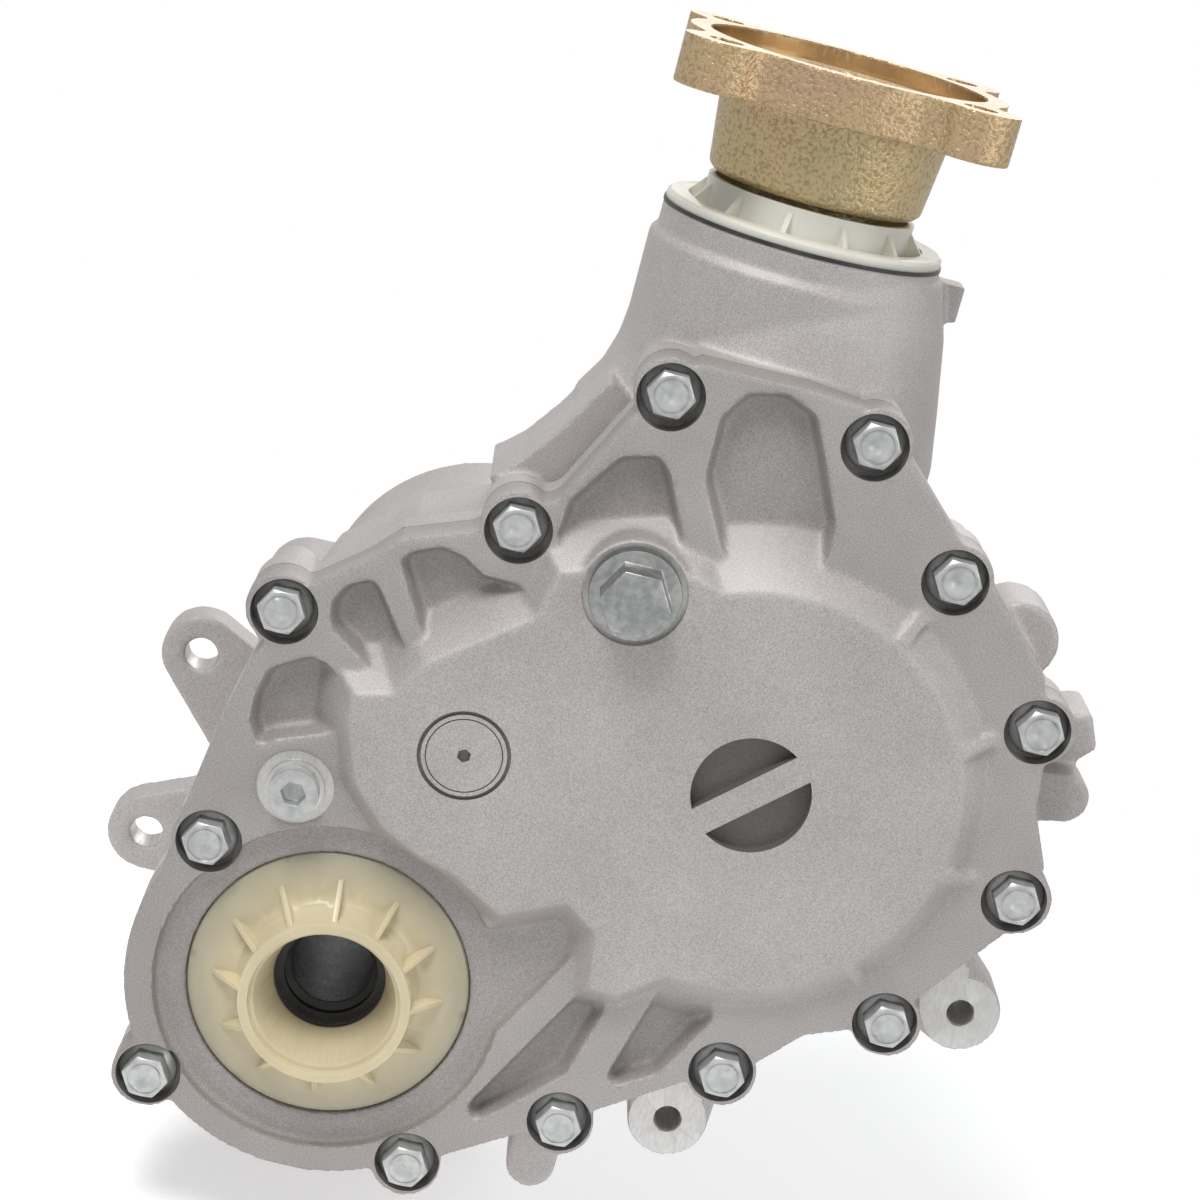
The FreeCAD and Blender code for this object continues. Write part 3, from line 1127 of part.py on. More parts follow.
def make_ring_gear():
    inner = RING_RADIUS - RING_FACE_WIDTH
    outer_tip = ring_pitch_depth(RING_RADIUS) + RING_ADDENDUM
    inner_tip = ring_pitch_depth(inner) + RING_ADDENDUM
    profile = [(RING_BORE_RADIUS, RING_BACK), (RING_RADIUS - 4, RING_BACK), (RING_RADIUS, RING_BACK + 4),
               (RING_RADIUS, outer_tip), (inner, inner_tip), (inner - 2, RING_BACK + 12),
               (RING_BORE_RADIUS, RING_BACK + 12)]
    blank = turned(profile)
    space = ring_space(inner - 3, RING_RADIUS + 3)
    spaces = []
    middle = sqrt((RING_RADIUS - RING_FACE_WIDTH / 2) ** 2 - HYPOID_OFFSET ** 2)
    start = ring_space_angle(middle)
    for k in range(RING_TEETH):
        copy = space.copy()
        copy.rotate(V(0, 0, 0), V(0, 0, 1), degrees(start) + 360 * k / RING_TEETH)
        spaces.append(copy)
    blank = blank.cut(Part.makeCompound(spaces))
    ring = along_y(blank, RING.x, RING.z)
    holes = [disc_y(x, z, BOLT_RADIUS, RING_BACK - 1, RING_BACK + RING_BOLT_REACH + 2)
             for x, z in ring_bolt_spots()]
    return ring.cut(holes)


def ring_space_angle(station):
    """Angle about the ring's axis, after it is laid along Y, of the space in mesh at a height."""
    return atan2(-station, -HYPOID_OFFSET)


def ring_space(inner, outer):
    """The cutter of one tooth space along +X, with the ring's face towards +Z."""
    slope = (ring_pitch_depth(RING_RADIUS) - ring_pitch_depth(RING_RADIUS - RING_FACE_WIDTH)) / RING_FACE_WIDTH
    flank = tan(radians(22))
    wires = []
    for radius in (inner, outer):
        pitch_depth = ring_pitch_depth(RING_RADIUS) + (radius - RING_RADIUS) * slope
        half = pi * radius / RING_TEETH / 2 + HYPOID_BACKLASH / 2
        low = pitch_depth - RING_DEDENDUM
        high = pitch_depth + RING_ADDENDUM + 2
        corners = [V(radius, -half + RING_DEDENDUM * flank, low), V(radius, half - RING_DEDENDUM * flank, low),
                   V(radius, half + (RING_ADDENDUM + 2) * flank, high),
                   V(radius, -half - (RING_ADDENDUM + 2) * flank, high)]
        wires.append(Part.makePolygon(corners + corners[:1]))
    return Part.makeLoft(wires, True, True)


def make_pinion():
    """The spiral pinion: each section is turned to meet the ring's radial tooth spaces."""
    low = sqrt((RING_RADIUS - RING_FACE_WIDTH) ** 2 - HYPOID_OFFSET ** 2) + 0.5
    high = sqrt(RING_RADIUS ** 2 - HYPOID_OFFSET ** 2) - 0.5
    middle = sqrt((RING_RADIUS - RING_FACE_WIDTH / 2) ** 2 - HYPOID_OFFSET ** 2)
    mid_angle = atan2(HYPOID_OFFSET, middle)
    sections = []
    for k in range(PINION_STATIONS):
        station = low + (high - low) * k / (PINION_STATIONS - 1)
        lead = RING_TEETH / PINION_TEETH * (atan2(HYPOID_OFFSET, station) - mid_angle)
        points = gear_points(PINION_TEETH, pinion_pitch_radius(station), PINION_ADDENDUM, PINION_DEDENDUM,
                             HYPOID_BACKLASH / 2, radians(HYPOID_PRESSURE_ANGLE),
                             radians(HYPOID_LEAD - 90) + lead)
        corners = [V(x, y, RING.z + station) for x, y in points]
        sections.append(Part.makePolygon(corners + corners[:1]))
    teeth = on_output(Part.makeLoft(sections, True, True))
    start = RING.z + high
    inner_end = PINION_BEARING_Z + PINION_INNER_WIDTH
    outer_end = OUTER_BEARING_Z + PINION_OUTER_WIDTH
    root = pinion_pitch_radius(high) - PINION_DEDENDUM
    profile = [(0, start), (root, start), (root, PINION_BEARING_Z - 2),
               (PINION_INNER_JOURNAL + 5, PINION_BEARING_Z - 2),
               (PINION_INNER_JOURNAL + 5, PINION_BEARING_Z), (PINION_INNER_JOURNAL, PINION_BEARING_Z),
               (PINION_INNER_JOURNAL, inner_end), (PINION_OUTER_JOURNAL, inner_end),
               (PINION_OUTER_JOURNAL, outer_end), (SPLINE_RADIUS, outer_end), (SPLINE_RADIUS, outer_end + 2),
               (0, outer_end + 2)]
    nut_seat = nut_seat_z()
    spline = splined(SPLINE_RADIUS, SPLINE_DEPTH, PINION_SPLINE_COUNT, outer_end + 1, nut_seat - 2)
    thread = Part.makeCylinder(THREAD_RADIUS, NUT_HEIGHT + 6, V(0, 0, nut_seat - 3))
    return teeth.fuse([on_output(turned(profile)), on_output(spline), on_output(thread)])


def nut_seat_z():
    return FLANGE_BACK_Z - 14


def make_spacer():
    low = PINION_BEARING_Z + PINION_INNER_WIDTH
    high = OUTER_BEARING_Z
    middle = (low + high) / 2
    inner = PINION_OUTER_JOURNAL + 0.2
    profile = [(inner, low), (inner + 3.5, low), (inner + 3.5, middle - 6), (inner + 6, middle),
               (inner + 3.5, middle + 6), (inner + 3.5, high), (inner, high), (inner, middle + 6),
               (inner + 2.5, middle), (inner, middle - 6)]
    return on_output(turned(profile))


def arc_edge(centre, radius, start, end, height):
    """An arc about (x, y) between two angles in radians, at a height."""
    points = []
    for angle in (start, (start + end) / 2, end):
        points.append(V(centre[0] + radius * cos(angle), centre[1] + radius * sin(angle), height))
    return Part.Arc(*points).toShape()


def flange_outline(height):
    """A round plate with four bolt lobes, each blended into it by hollow arcs."""
    plate, lobe, notch, reach = (
        FLANGE_DISC_RADIUS, FLANGE_LOBE_RADIUS, FLANGE_NOTCH_RADIUS, FLANGE_BOLT_CIRCLE)
    far = plate + notch
    side = lobe + notch
    turn = acos((reach ** 2 + far ** 2 - side ** 2) / (2 * reach * far))
    lean = acos((reach ** 2 + side ** 2 - far ** 2) / (2 * reach * side))
    edges = []
    for k in range(4):
        middle = pi / 4 + k * pi / 2
        lobe_centre = (reach * cos(middle), reach * sin(middle))
        opening = pi - lean
        before = (far * cos(middle - turn), far * sin(middle - turn))
        after = (far * cos(middle + turn), far * sin(middle + turn))
        facing_before = middle - turn + pi
        facing_after = middle + turn + pi
        edges += [
            arc_edge(before, notch, facing_before, middle - opening + pi, height),
            arc_edge(lobe_centre, lobe, middle - opening, middle + opening, height),
            arc_edge(after, notch, middle + opening - pi, facing_after - 2 * pi, height),
            arc_edge((0, 0), plate, middle + turn, middle + pi / 2 - turn, height),
        ]
    return Part.Wire(edges)


def make_flange():
    """The square output flange with its lobes, hub, pilot recess and sleeve."""
    disc = Part.Face(flange_outline(FLANGE_BACK_Z)).extrude(V(0, 0, FLANGE_THICKNESS))
    holes = []
    for k in range(4):
        angle = radians(45 + 90 * k)
        x, y = FLANGE_BOLT_CIRCLE * cos(angle), FLANGE_BOLT_CIRCLE * sin(angle)
        holes.append(Part.makeCylinder(FLANGE_BOLT_RADIUS, FLANGE_THICKNESS, V(x, y, FLANGE_BACK_Z)))
    sleeve_low = OUTER_BEARING_Z + PINION_OUTER_WIDTH
    hub = turned([(0, sleeve_low), (FLANGE_SLEEVE_RADIUS, sleeve_low), (FLANGE_SLEEVE_RADIUS, FLANGE_HUB_Z),
                  (FLANGE_HUB_RADIUS - 2, FLANGE_HUB_Z), (FLANGE_HUB_RADIUS, FLANGE_HUB_Z + 2),
                  (FLANGE_NECK_RADIUS, FLANGE_BACK_Z - 1.5), (FLANGE_NECK_RADIUS + 3, FLANGE_BACK_Z + 1),
                  (0, FLANGE_BACK_Z + 1)])
    seat = nut_seat_z()
    pocket = turned([(0, seat), (24, seat), (33, FLANGE_FACE_Z - FLANGE_PILOT_DEPTH - 3),
                     (36, FLANGE_FACE_Z - FLANGE_PILOT_DEPTH),
                     (FLANGE_PILOT_RADIUS, FLANGE_FACE_Z - FLANGE_PILOT_DEPTH),
                     (FLANGE_PILOT_RADIUS, FLANGE_FACE_Z), (0, FLANGE_FACE_Z)])
    bore = Part.makeCylinder(SPLINE_RADIUS, 200, V(0, 0, sleeve_low - 1))
    flange = disc.fuse(hub).cut([pocket, bore] + holes)
    flange.rotate(V(0, 0, 0), V(0, 0, 1), FLANGE_TURN)
    return on_output(flange)


def make_nut():
    seat = nut_seat_z()
    nut = hexagon(NUT_HEX, seat, seat + NUT_HEIGHT)
    collar = Part.makeCylinder(NUT_HEX / 2 + 3, 3, V(0, 0, seat))
    return on_output(nut.fuse(collar).cut(Part.makeCylinder(THREAD_RADIUS, NUT_HEIGHT, V(0, 0, seat))))


def make_dust_shield():
    """The nylon shield on the neck: spigot, flat brim, collar under the flange's hub and radial ribs."""
    spigot, collar = SHIELD_SPIGOT_RADIUS, SHIELD_COLLAR_RADIUS
    brim = SHIELD_RADIUS - SHIELD_BRIM_WIDTH
    bore = spigot - SHIELD_WALL
    profile = [
        (bore, -SHIELD_SPIGOT_DEPTH), (spigot, -SHIELD_SPIGOT_DEPTH), (spigot, 0), (SHIELD_RADIUS, 0),
        (SHIELD_RADIUS, SHIELD_BRIM - 1), (SHIELD_RADIUS - 1, SHIELD_BRIM), (brim, SHIELD_BRIM),
        (brim - 1, SHIELD_WEB), (collar, SHIELD_WEB), (collar, SHIELD_COLLAR_HEIGHT),
        (collar - SHIELD_WALL, SHIELD_COLLAR_HEIGHT), (collar - SHIELD_WALL, -SHIELD_WALL), (bore, -SHIELD_WALL),
    ]
    rib_top = SHIELD_COLLAR_HEIGHT - SHIELD_WALL
    rib_profile = [(collar - 1, -1), (brim, -1), (brim, SHIELD_BRIM), (collar, rib_top), (collar - 1, rib_top)]
    ribs = radial_ribs(rib_profile, SHIELD_RIB_THICKNESS, SHIELD_RIBS, 180 / SHIELD_RIBS)
    shield = turned(profile)
    return on_output(shield.fuse(ribs), NECK_TOP)


def bearings():
    """Six taper roller bearings: name, solids and how each is laid."""
    parts = {}
    rows = (
        ("input_front", INPUT_CUP_RADIUS, INPUT_JOURNAL_RADIUS, INPUT_BEARING_WIDTH, INPUT,
         INPUT_FRONT_BEARING + INPUT_BEARING_WIDTH, True),
        ("input_rear", INPUT_CUP_RADIUS, INPUT_JOURNAL_RADIUS, INPUT_BEARING_WIDTH, INPUT, HUB_REAR, False),
        ("transfer_front", TRANSFER_CUP_RADIUS, TRANSFER_JOURNAL_RADIUS, TRANSFER_BEARING_WIDTH, RING,
         SHIM_THICKNESS - BEARING_POCKET_FLOOR + TRANSFER_BEARING_WIDTH, True),
        ("transfer_rear", TRANSFER_CUP_RADIUS, TRANSFER_JOURNAL_RADIUS, TRANSFER_BEARING_WIDTH, RING,
         HUB_REAR, False),
    )
    for name, cup_radius, bore, width, axis, start, facing_front in rows:
        for role, solid in zip(("cup", "cone", "rollers"), taper_bearing(cup_radius, bore, width)):
            parts[name + "_" + role] = along_y(solid, axis.x, axis.z, start, facing_front)
    stand = (
        ("pinion_inner", PINION_INNER_CUP, PINION_INNER_JOURNAL, PINION_INNER_WIDTH, PINION_BEARING_Z, False),
        ("pinion_outer", PINION_OUTER_CUP, PINION_OUTER_JOURNAL, PINION_OUTER_WIDTH,
         OUTER_BEARING_Z + PINION_OUTER_WIDTH, True),
    )
    for name, cup_radius, bore, width, low, facing_down in stand:
        for role, solid in zip(("cup", "cone", "rollers"), taper_bearing(cup_radius, bore, width)):
            parts[name + "_" + role] = on_output(solid, low, facing_down)
    return parts


def build_parts():
    rear_shim = HUB_REAR + TRANSFER_BEARING_WIDTH
    pinion_cup_top = PINION_BEARING_Z + PINION_INNER_WIDTH
    pilot_end = CASE_DEPTH + PILOT_LENGTH
    seal_low = OUTER_BEARING_Z + PINION_OUTER_WIDTH + 4
    parts = {
        "case": make_case(),
        "cover": make_cover(),
        "cover_sealant": make_sealant(),
        "cover_bolts": make_cover_bolts(),
        "cover_dowels": make_dowels(),
        "fill_plug": make_fill_plug(),
        "fill_plug_washer": make_fill_washer(),
        "level_plug": make_level_plug(),
        "level_plug_washer": make_level_washer(),
        "input_plug": make_input_plug(),
        "input_shaft": make_input_shaft(),
        "input_gear": make_gear(INPUT, INPUT_TEETH, IDLER_DIRECTION, INPUT_SEAT_RADIUS),
        "halfshaft_seal": make_halfshaft_seal(),
        "input_front_seal": along_y(oil_seal(INPUT_CUP_RADIUS, INPUT_JOURNAL_RADIUS, SEAL_WIDTH),
                                    INPUT.x, INPUT.z, INPUT_FRONT_BEARING - 1, True),
        "input_rear_seal": along_y(oil_seal(INPUT_CUP_RADIUS, INPUT_STUB_RADIUS, SEAL_WIDTH),
                                   INPUT.x, INPUT.z, pilot_end - SEAL_WIDTH),
        "idler_pin": make_idler_pin(),
        "idler_pin_o_ring": make_pin_o_ring(),
        "idler_gear": make_idler_gear(),
        "idler_needles_front": make_needles(2.0),
        "idler_needles_rear": make_needles(GEAR_REAR - NEEDLE_LENGTH - 2.0),
        "idler_thrust_washer_front": make_thrust_washer(-THRUST_WASHER_THICKNESS),
        "idler_thrust_washer_rear": make_thrust_washer(GEAR_REAR),
        "transfer_shaft": make_transfer_shaft(),
        "driven_gear": make_gear(RING, DRIVEN_TEETH, driven_phase(), TRANSFER_SEAT_RADIUS),
        "ring_gear": make_ring_gear(),
        "ring_gear_bolts": make_ring_bolts(),
        "transfer_shim": tube_y(RING.x, RING.z, TRANSFER_CUP_RADIUS, TRANSFER_CUP_RADIUS - 4, rear_shim,
                                rear_shim + SHIM_THICKNESS),
        "pinion": make_pinion(),
        "pinion_spacer": make_spacer(),
        "pinion_shim": tube_z(OUTPUT_X, OUTPUT_DEPTH, PINION_INNER_CUP, PINION_INNER_CUP - 4, pinion_cup_top,
                              pinion_cup_top + SHIM_THICKNESS),
        "pinion_seal": on_output(oil_seal(PINION_OUTER_CUP, FLANGE_SLEEVE_RADIUS, SEAL_WIDTH), seal_low),
        "pinion_nut": make_nut(),
        "output_flange": make_flange(),
        "dust_shield": make_dust_shield(),
    }
    parts.update(bearings())
    return parts


def main():
    os.makedirs("parts", exist_ok=True)
    for name, shape in build_parts().items():
        shape.translate(V(0, -CASE_DEPTH, 0))
        shape.exportStep("parts/" + name + ".step")
        box = shape.BoundBox
        print(name, len(shape.Solids), shape.isValid(), round(shape.Volume), [round(v, 1) for v in (
            box.XMin, box.XMax, box.YMin, box.YMax, box.ZMin, box.ZMax)])


main()
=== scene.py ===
"""Dresses the transfer case: soft cast housings, plated fasteners, gold flange and nylon guards.

The castings are merged copies of the frame's own solids, rounded as a sand-blasted casting is,
split again at the joint face and bored once more, so that machined edges stay crisp.
Sizes are in millimetres; the frame and Blender are in metres.
"""

import json
import logging
import math
from dataclasses import dataclass
from enum import Enum

import bpy
from mathutils import Matrix, Vector

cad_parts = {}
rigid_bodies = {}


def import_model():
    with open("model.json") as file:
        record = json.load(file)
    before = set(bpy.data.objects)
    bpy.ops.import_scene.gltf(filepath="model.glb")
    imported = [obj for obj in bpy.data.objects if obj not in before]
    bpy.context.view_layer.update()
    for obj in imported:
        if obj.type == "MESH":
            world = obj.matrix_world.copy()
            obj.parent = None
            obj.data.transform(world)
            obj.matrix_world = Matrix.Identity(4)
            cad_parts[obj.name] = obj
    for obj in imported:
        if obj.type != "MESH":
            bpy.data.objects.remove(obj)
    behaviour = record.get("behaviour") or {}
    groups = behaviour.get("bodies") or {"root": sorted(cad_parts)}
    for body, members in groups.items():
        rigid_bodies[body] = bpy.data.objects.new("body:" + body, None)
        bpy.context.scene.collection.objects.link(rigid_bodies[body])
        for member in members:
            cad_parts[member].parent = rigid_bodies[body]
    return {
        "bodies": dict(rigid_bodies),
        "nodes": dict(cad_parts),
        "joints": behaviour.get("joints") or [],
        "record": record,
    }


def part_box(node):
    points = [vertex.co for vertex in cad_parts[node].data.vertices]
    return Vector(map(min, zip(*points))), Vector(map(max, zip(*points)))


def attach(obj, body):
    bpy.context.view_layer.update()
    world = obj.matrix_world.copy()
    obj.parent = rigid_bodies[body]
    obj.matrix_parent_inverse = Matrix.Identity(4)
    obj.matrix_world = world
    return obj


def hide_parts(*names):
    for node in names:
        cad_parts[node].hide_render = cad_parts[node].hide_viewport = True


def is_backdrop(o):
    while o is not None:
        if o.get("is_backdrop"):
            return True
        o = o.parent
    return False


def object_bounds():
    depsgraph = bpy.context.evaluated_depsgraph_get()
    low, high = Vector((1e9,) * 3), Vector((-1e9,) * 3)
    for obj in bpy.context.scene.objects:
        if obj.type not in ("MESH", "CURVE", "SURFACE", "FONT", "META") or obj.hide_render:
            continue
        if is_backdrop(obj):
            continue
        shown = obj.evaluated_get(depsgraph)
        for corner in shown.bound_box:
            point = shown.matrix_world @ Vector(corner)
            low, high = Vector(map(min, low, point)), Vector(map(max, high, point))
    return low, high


Pair = tuple[float, float]
Triple = tuple[float, float, float]
Piece = bpy.types.Object
Socket = bpy.types.NodeSocket

LOG = logging.getLogger("transfer_case")
MM = 0.001

# Y of the joint face, the sealant's gap at it, and how far ahead of it the cutting bars start
JOINT_PLANE = -126.0
SEALANT = 0.4
FRONT_REACH = 60.0
# How far a tool runs past what it cuts, and the half width of the blocks that halve the casting
MARGIN = 1.0
HALVING_REACH = 400.0
# Angles in degrees: below the first a surface is flat, above the second an edge is sharp
FLAT_ANGLE = 0.5
SHARP_ANGLE = 32.0
# Below the flange's face the hub's tone turns into the flange's between these drops
TONE_DROPS = (22.0, 14.0)
# In metres
WELD_DISTANCE = 1e-6
FLOOR_GAP = 0.002


class Lay(Enum):
    """The way a turned shape lies in the frame."""

    ALONG_Y = "y"
    ALONG_Z = "z"


class Mix(Enum):
    """Blend modes of a colour mix."""

    BLEND = "MIX"
    MULTIPLY = "MULTIPLY"


class Bench:
    """Hand operations on meshes, done with Blender's operators."""

    @staticmethod
    def pick(*objects: Piece) -> None:
        """Selects only these objects and makes the first one active.

        Args:
            objects: what the next operator acts on.
        """
        bpy.ops.object.select_all(action="DESELECT")
        for obj in objects:
            obj.select_set(True)
        bpy.context.view_layer.objects.active = objects[0]

    @staticmethod
    def settle(obj: Piece) -> Piece:
        """Moves the object's place into its mesh, so that the object sits at the origin."""
        Bench.pick(obj)
        bpy.ops.object.transform_apply(location=True, rotation=True, scale=True)
        return obj

    @staticmethod
    def modify(obj: Piece, kind: str, **settings: object) -> None:
        """Adds a modifier with these settings and applies it.

        Args:
            obj: the piece.
            kind: the modifier's type.
            settings: its properties by name.
        """
        Bench.pick(obj)
        modifier = obj.modifiers.new(kind.lower(), kind)
        for name, value in settings.items():
            setattr(modifier, name, value)
        bpy.ops.object.modifier_apply(modifier=modifier.name)

    @staticmethod
    def join(name: str, *objects: Piece) -> Piece:
        """Joins several objects into one.

        Args:
            name: the name of the result.
            objects: what is joined.

        Returns:
            The joined object.
        """
        Bench.pick(*objects)
        if len(objects) > 1:
            bpy.ops.object.join()
        joined = bpy.context.view_layer.objects.active
        joined.name = name
        return joined

    @staticmethod
    def copy_of(frame: dict, name: str, *nodes: str) -> Piece:
        """Makes one merged copy of the frame's nodes.

        Args:
            name: the name of the copy.
            nodes: the nodes to copy.

        Returns:
            The copy, with its doubled vertices merged.
        """
        copies = []
        for node in nodes:
            obj = bpy.data.objects.new(name + "_" + node, frame["nodes"][node].data.copy())
            bpy.context.scene.collection.objects.link(obj)
            obj.data.materials.clear()
            copies.append(obj)
        merged = Bench.join(name, *copies)
        bpy.ops.object.mode_set(mode="EDIT")
        bpy.ops.mesh.select_all(action="SELECT")
        bpy.ops.mesh.remove_doubles(threshold=WELD_DISTANCE)
        bpy.ops.object.mode_set(mode="OBJECT")
        return merged

    @staticmethod
    def disc(
        centre: Pair, radius: float, start: float, end: float, lay: Lay, sides: int = 96
    ) -> Piece:
        """Makes a round bar for a bore or a fill.

        Args:
            centre: the axis' two coordinates across the bar, in mm.
            radius: in mm.
            start: where it begins along its axis, in mm.
            end: where it ends.
            lay: the direction of its axis.
            sides: the number of sides.

        Returns:
            The bar, settled at the origin.
        """
        bpy.ops.object.select_all(action="DESELECT")
        middle = (start + end) / 2
        if lay is Lay.ALONG_Y:
            place = Vector((centre[0], middle, centre[1])) * MM
            turn = (math.pi / 2, 0, 0)
        else:
            place = Vector((centre[0], centre[1], middle)) * MM
            turn = (0, 0, 0)
        bpy.ops.mesh.primitive_cylinder_add(
            vertices=sides, radius=radius * MM, depth=abs(end - start) * MM, location=place, rotation=turn
        )
        return Bench.settle(bpy.context.view_layer.objects.active)

    @staticmethod
    def block(low: Vector, high: Vector) -> Piece:
        """Makes a box between two corners in mm.

        Args:
            low: the corner with the lowest coordinates.
            high: the opposite corner.

        Returns:
            The box, settled at the origin.
        """
        bpy.ops.object.select_all(action="DESELECT")
        bpy.ops.mesh.primitive_cube_add(size=1, location=(low + high) / 2 * MM)
        obj = bpy.context.view_layer.objects.active
        obj.scale = (high - low) * MM
        return Bench.settle(obj)

    @staticmethod
    def combine(obj: Piece, tool: Piece, operation: str) -> None:
        """Cuts, joins or trims a piece with a tool, which is then put away.

        Args:
            obj: the piece.
            tool: a closed mesh.
            operation: DIFFERENCE, UNION or INTERSECT.
        """
        Bench.modify(
            obj, "BOOLEAN", operation=operation, object=tool, solver="MANIFOLD", material_mode="TRANSFER"
        )
        bpy.data.objects.remove(tool, do_unlink=True)

    @staticmethod
    def union(tools: list[Piece]) -> Piece:
        """Joins overlapping closed tools into one closed tool.

        Args:
            tools: two or more, all but the first put away.

        Returns:
            The first tool, grown by the others.
        """
        first, *others = tools
        for other in others:
            Bench.combine(first, other, "UNION")
        return first

    @staticmethod
    def smooth(obj: Piece, degrees: float = SHARP_ANGLE) -> None:
        """Shades smooth, with edges sharper than an angle kept.

        Args:
            obj: the piece.
            degrees: the angle from which an edge counts as sharp.
        """
        Bench.pick(obj)
        bpy.ops.object.shade_smooth_by_angle(angle=math.radians(degrees))

    @staticmethod
    def soften(obj: Piece, width: float, segments: int = 2, degrees: float = SHARP_ANGLE) -> None:
        """Cleans a copied solid and breaks its sharp edges.

        Args:
            obj: the merged copy.
            width: the bevel's width in mm.
            segments: segments across the bevel.
            degrees: the angle from which an edge counts as sharp.
        """
        Bench.pick(obj)
        bpy.ops.object.mode_set(mode="EDIT")
        bpy.ops.mesh.select_all(action="SELECT")
        bpy.ops.mesh.dissolve_limited(angle_limit=math.radians(FLAT_ANGLE))
        bpy.ops.object.mode_set(mode="OBJECT")
        Bench.modify(
            obj, "BEVEL", width=width * MM, segments=segments, limit_method="ANGLE",
            angle_limit=math.radians(degrees), harden_normals=False, use_clamp_overlap=True,
        )
        Bench.smooth(obj, degrees)

    @staticmethod
    def round_off(obj: Piece, voxel: float, rounds: int) -> None:
        """Remeshes a piece and smooths it, so that its edges are as round as a casting's.

        Args:
            obj: the piece.
            voxel: the size of a voxel, in mm.
            rounds: how often it is smoothed.
        """
        Bench.modify(obj, "REMESH", mode="VOXEL", voxel_size=voxel * MM)
        Bench.modify(obj, "SMOOTH", factor=0.5, iterations=rounds)

    @staticmethod
    def middle_of(node: str) -> Vector:
        """The middle of a node's box, in mm."""
        low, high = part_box(node)
        return (low + high) / 2 / MM

    @staticmethod
    def solids_of(frame: dict, node: str) -> list[Vector]:
        """The middles of a node's separate solids, in mm.

        Args:
            frame: the loaded frame.
            node: the node's name.

        Returns:
            One point for each solid.
        """
        obj = Bench.copy_of(frame, "solids", node)
        bpy.ops.object.mode_set(mode="EDIT")
        bpy.ops.mesh.separate(type="LOOSE")
        bpy.ops.object.mode_set(mode="OBJECT")
        parts = [part for part in bpy.context.selected_objects if part.name.startswith(obj.name)]
        middles = []
        for part in parts:
            corners = [vertex.co for vertex in part.data.vertices]
            low = Vector((min(c[k] for c in corners) for k in range(3)))
            high = Vector((max(c[k] for c in corners) for k in range(3)))
            middles.append((low + high) / 2 / MM)
        for part in parts:
            bpy.data.objects.remove(part, do_unlink=True)
        return middles


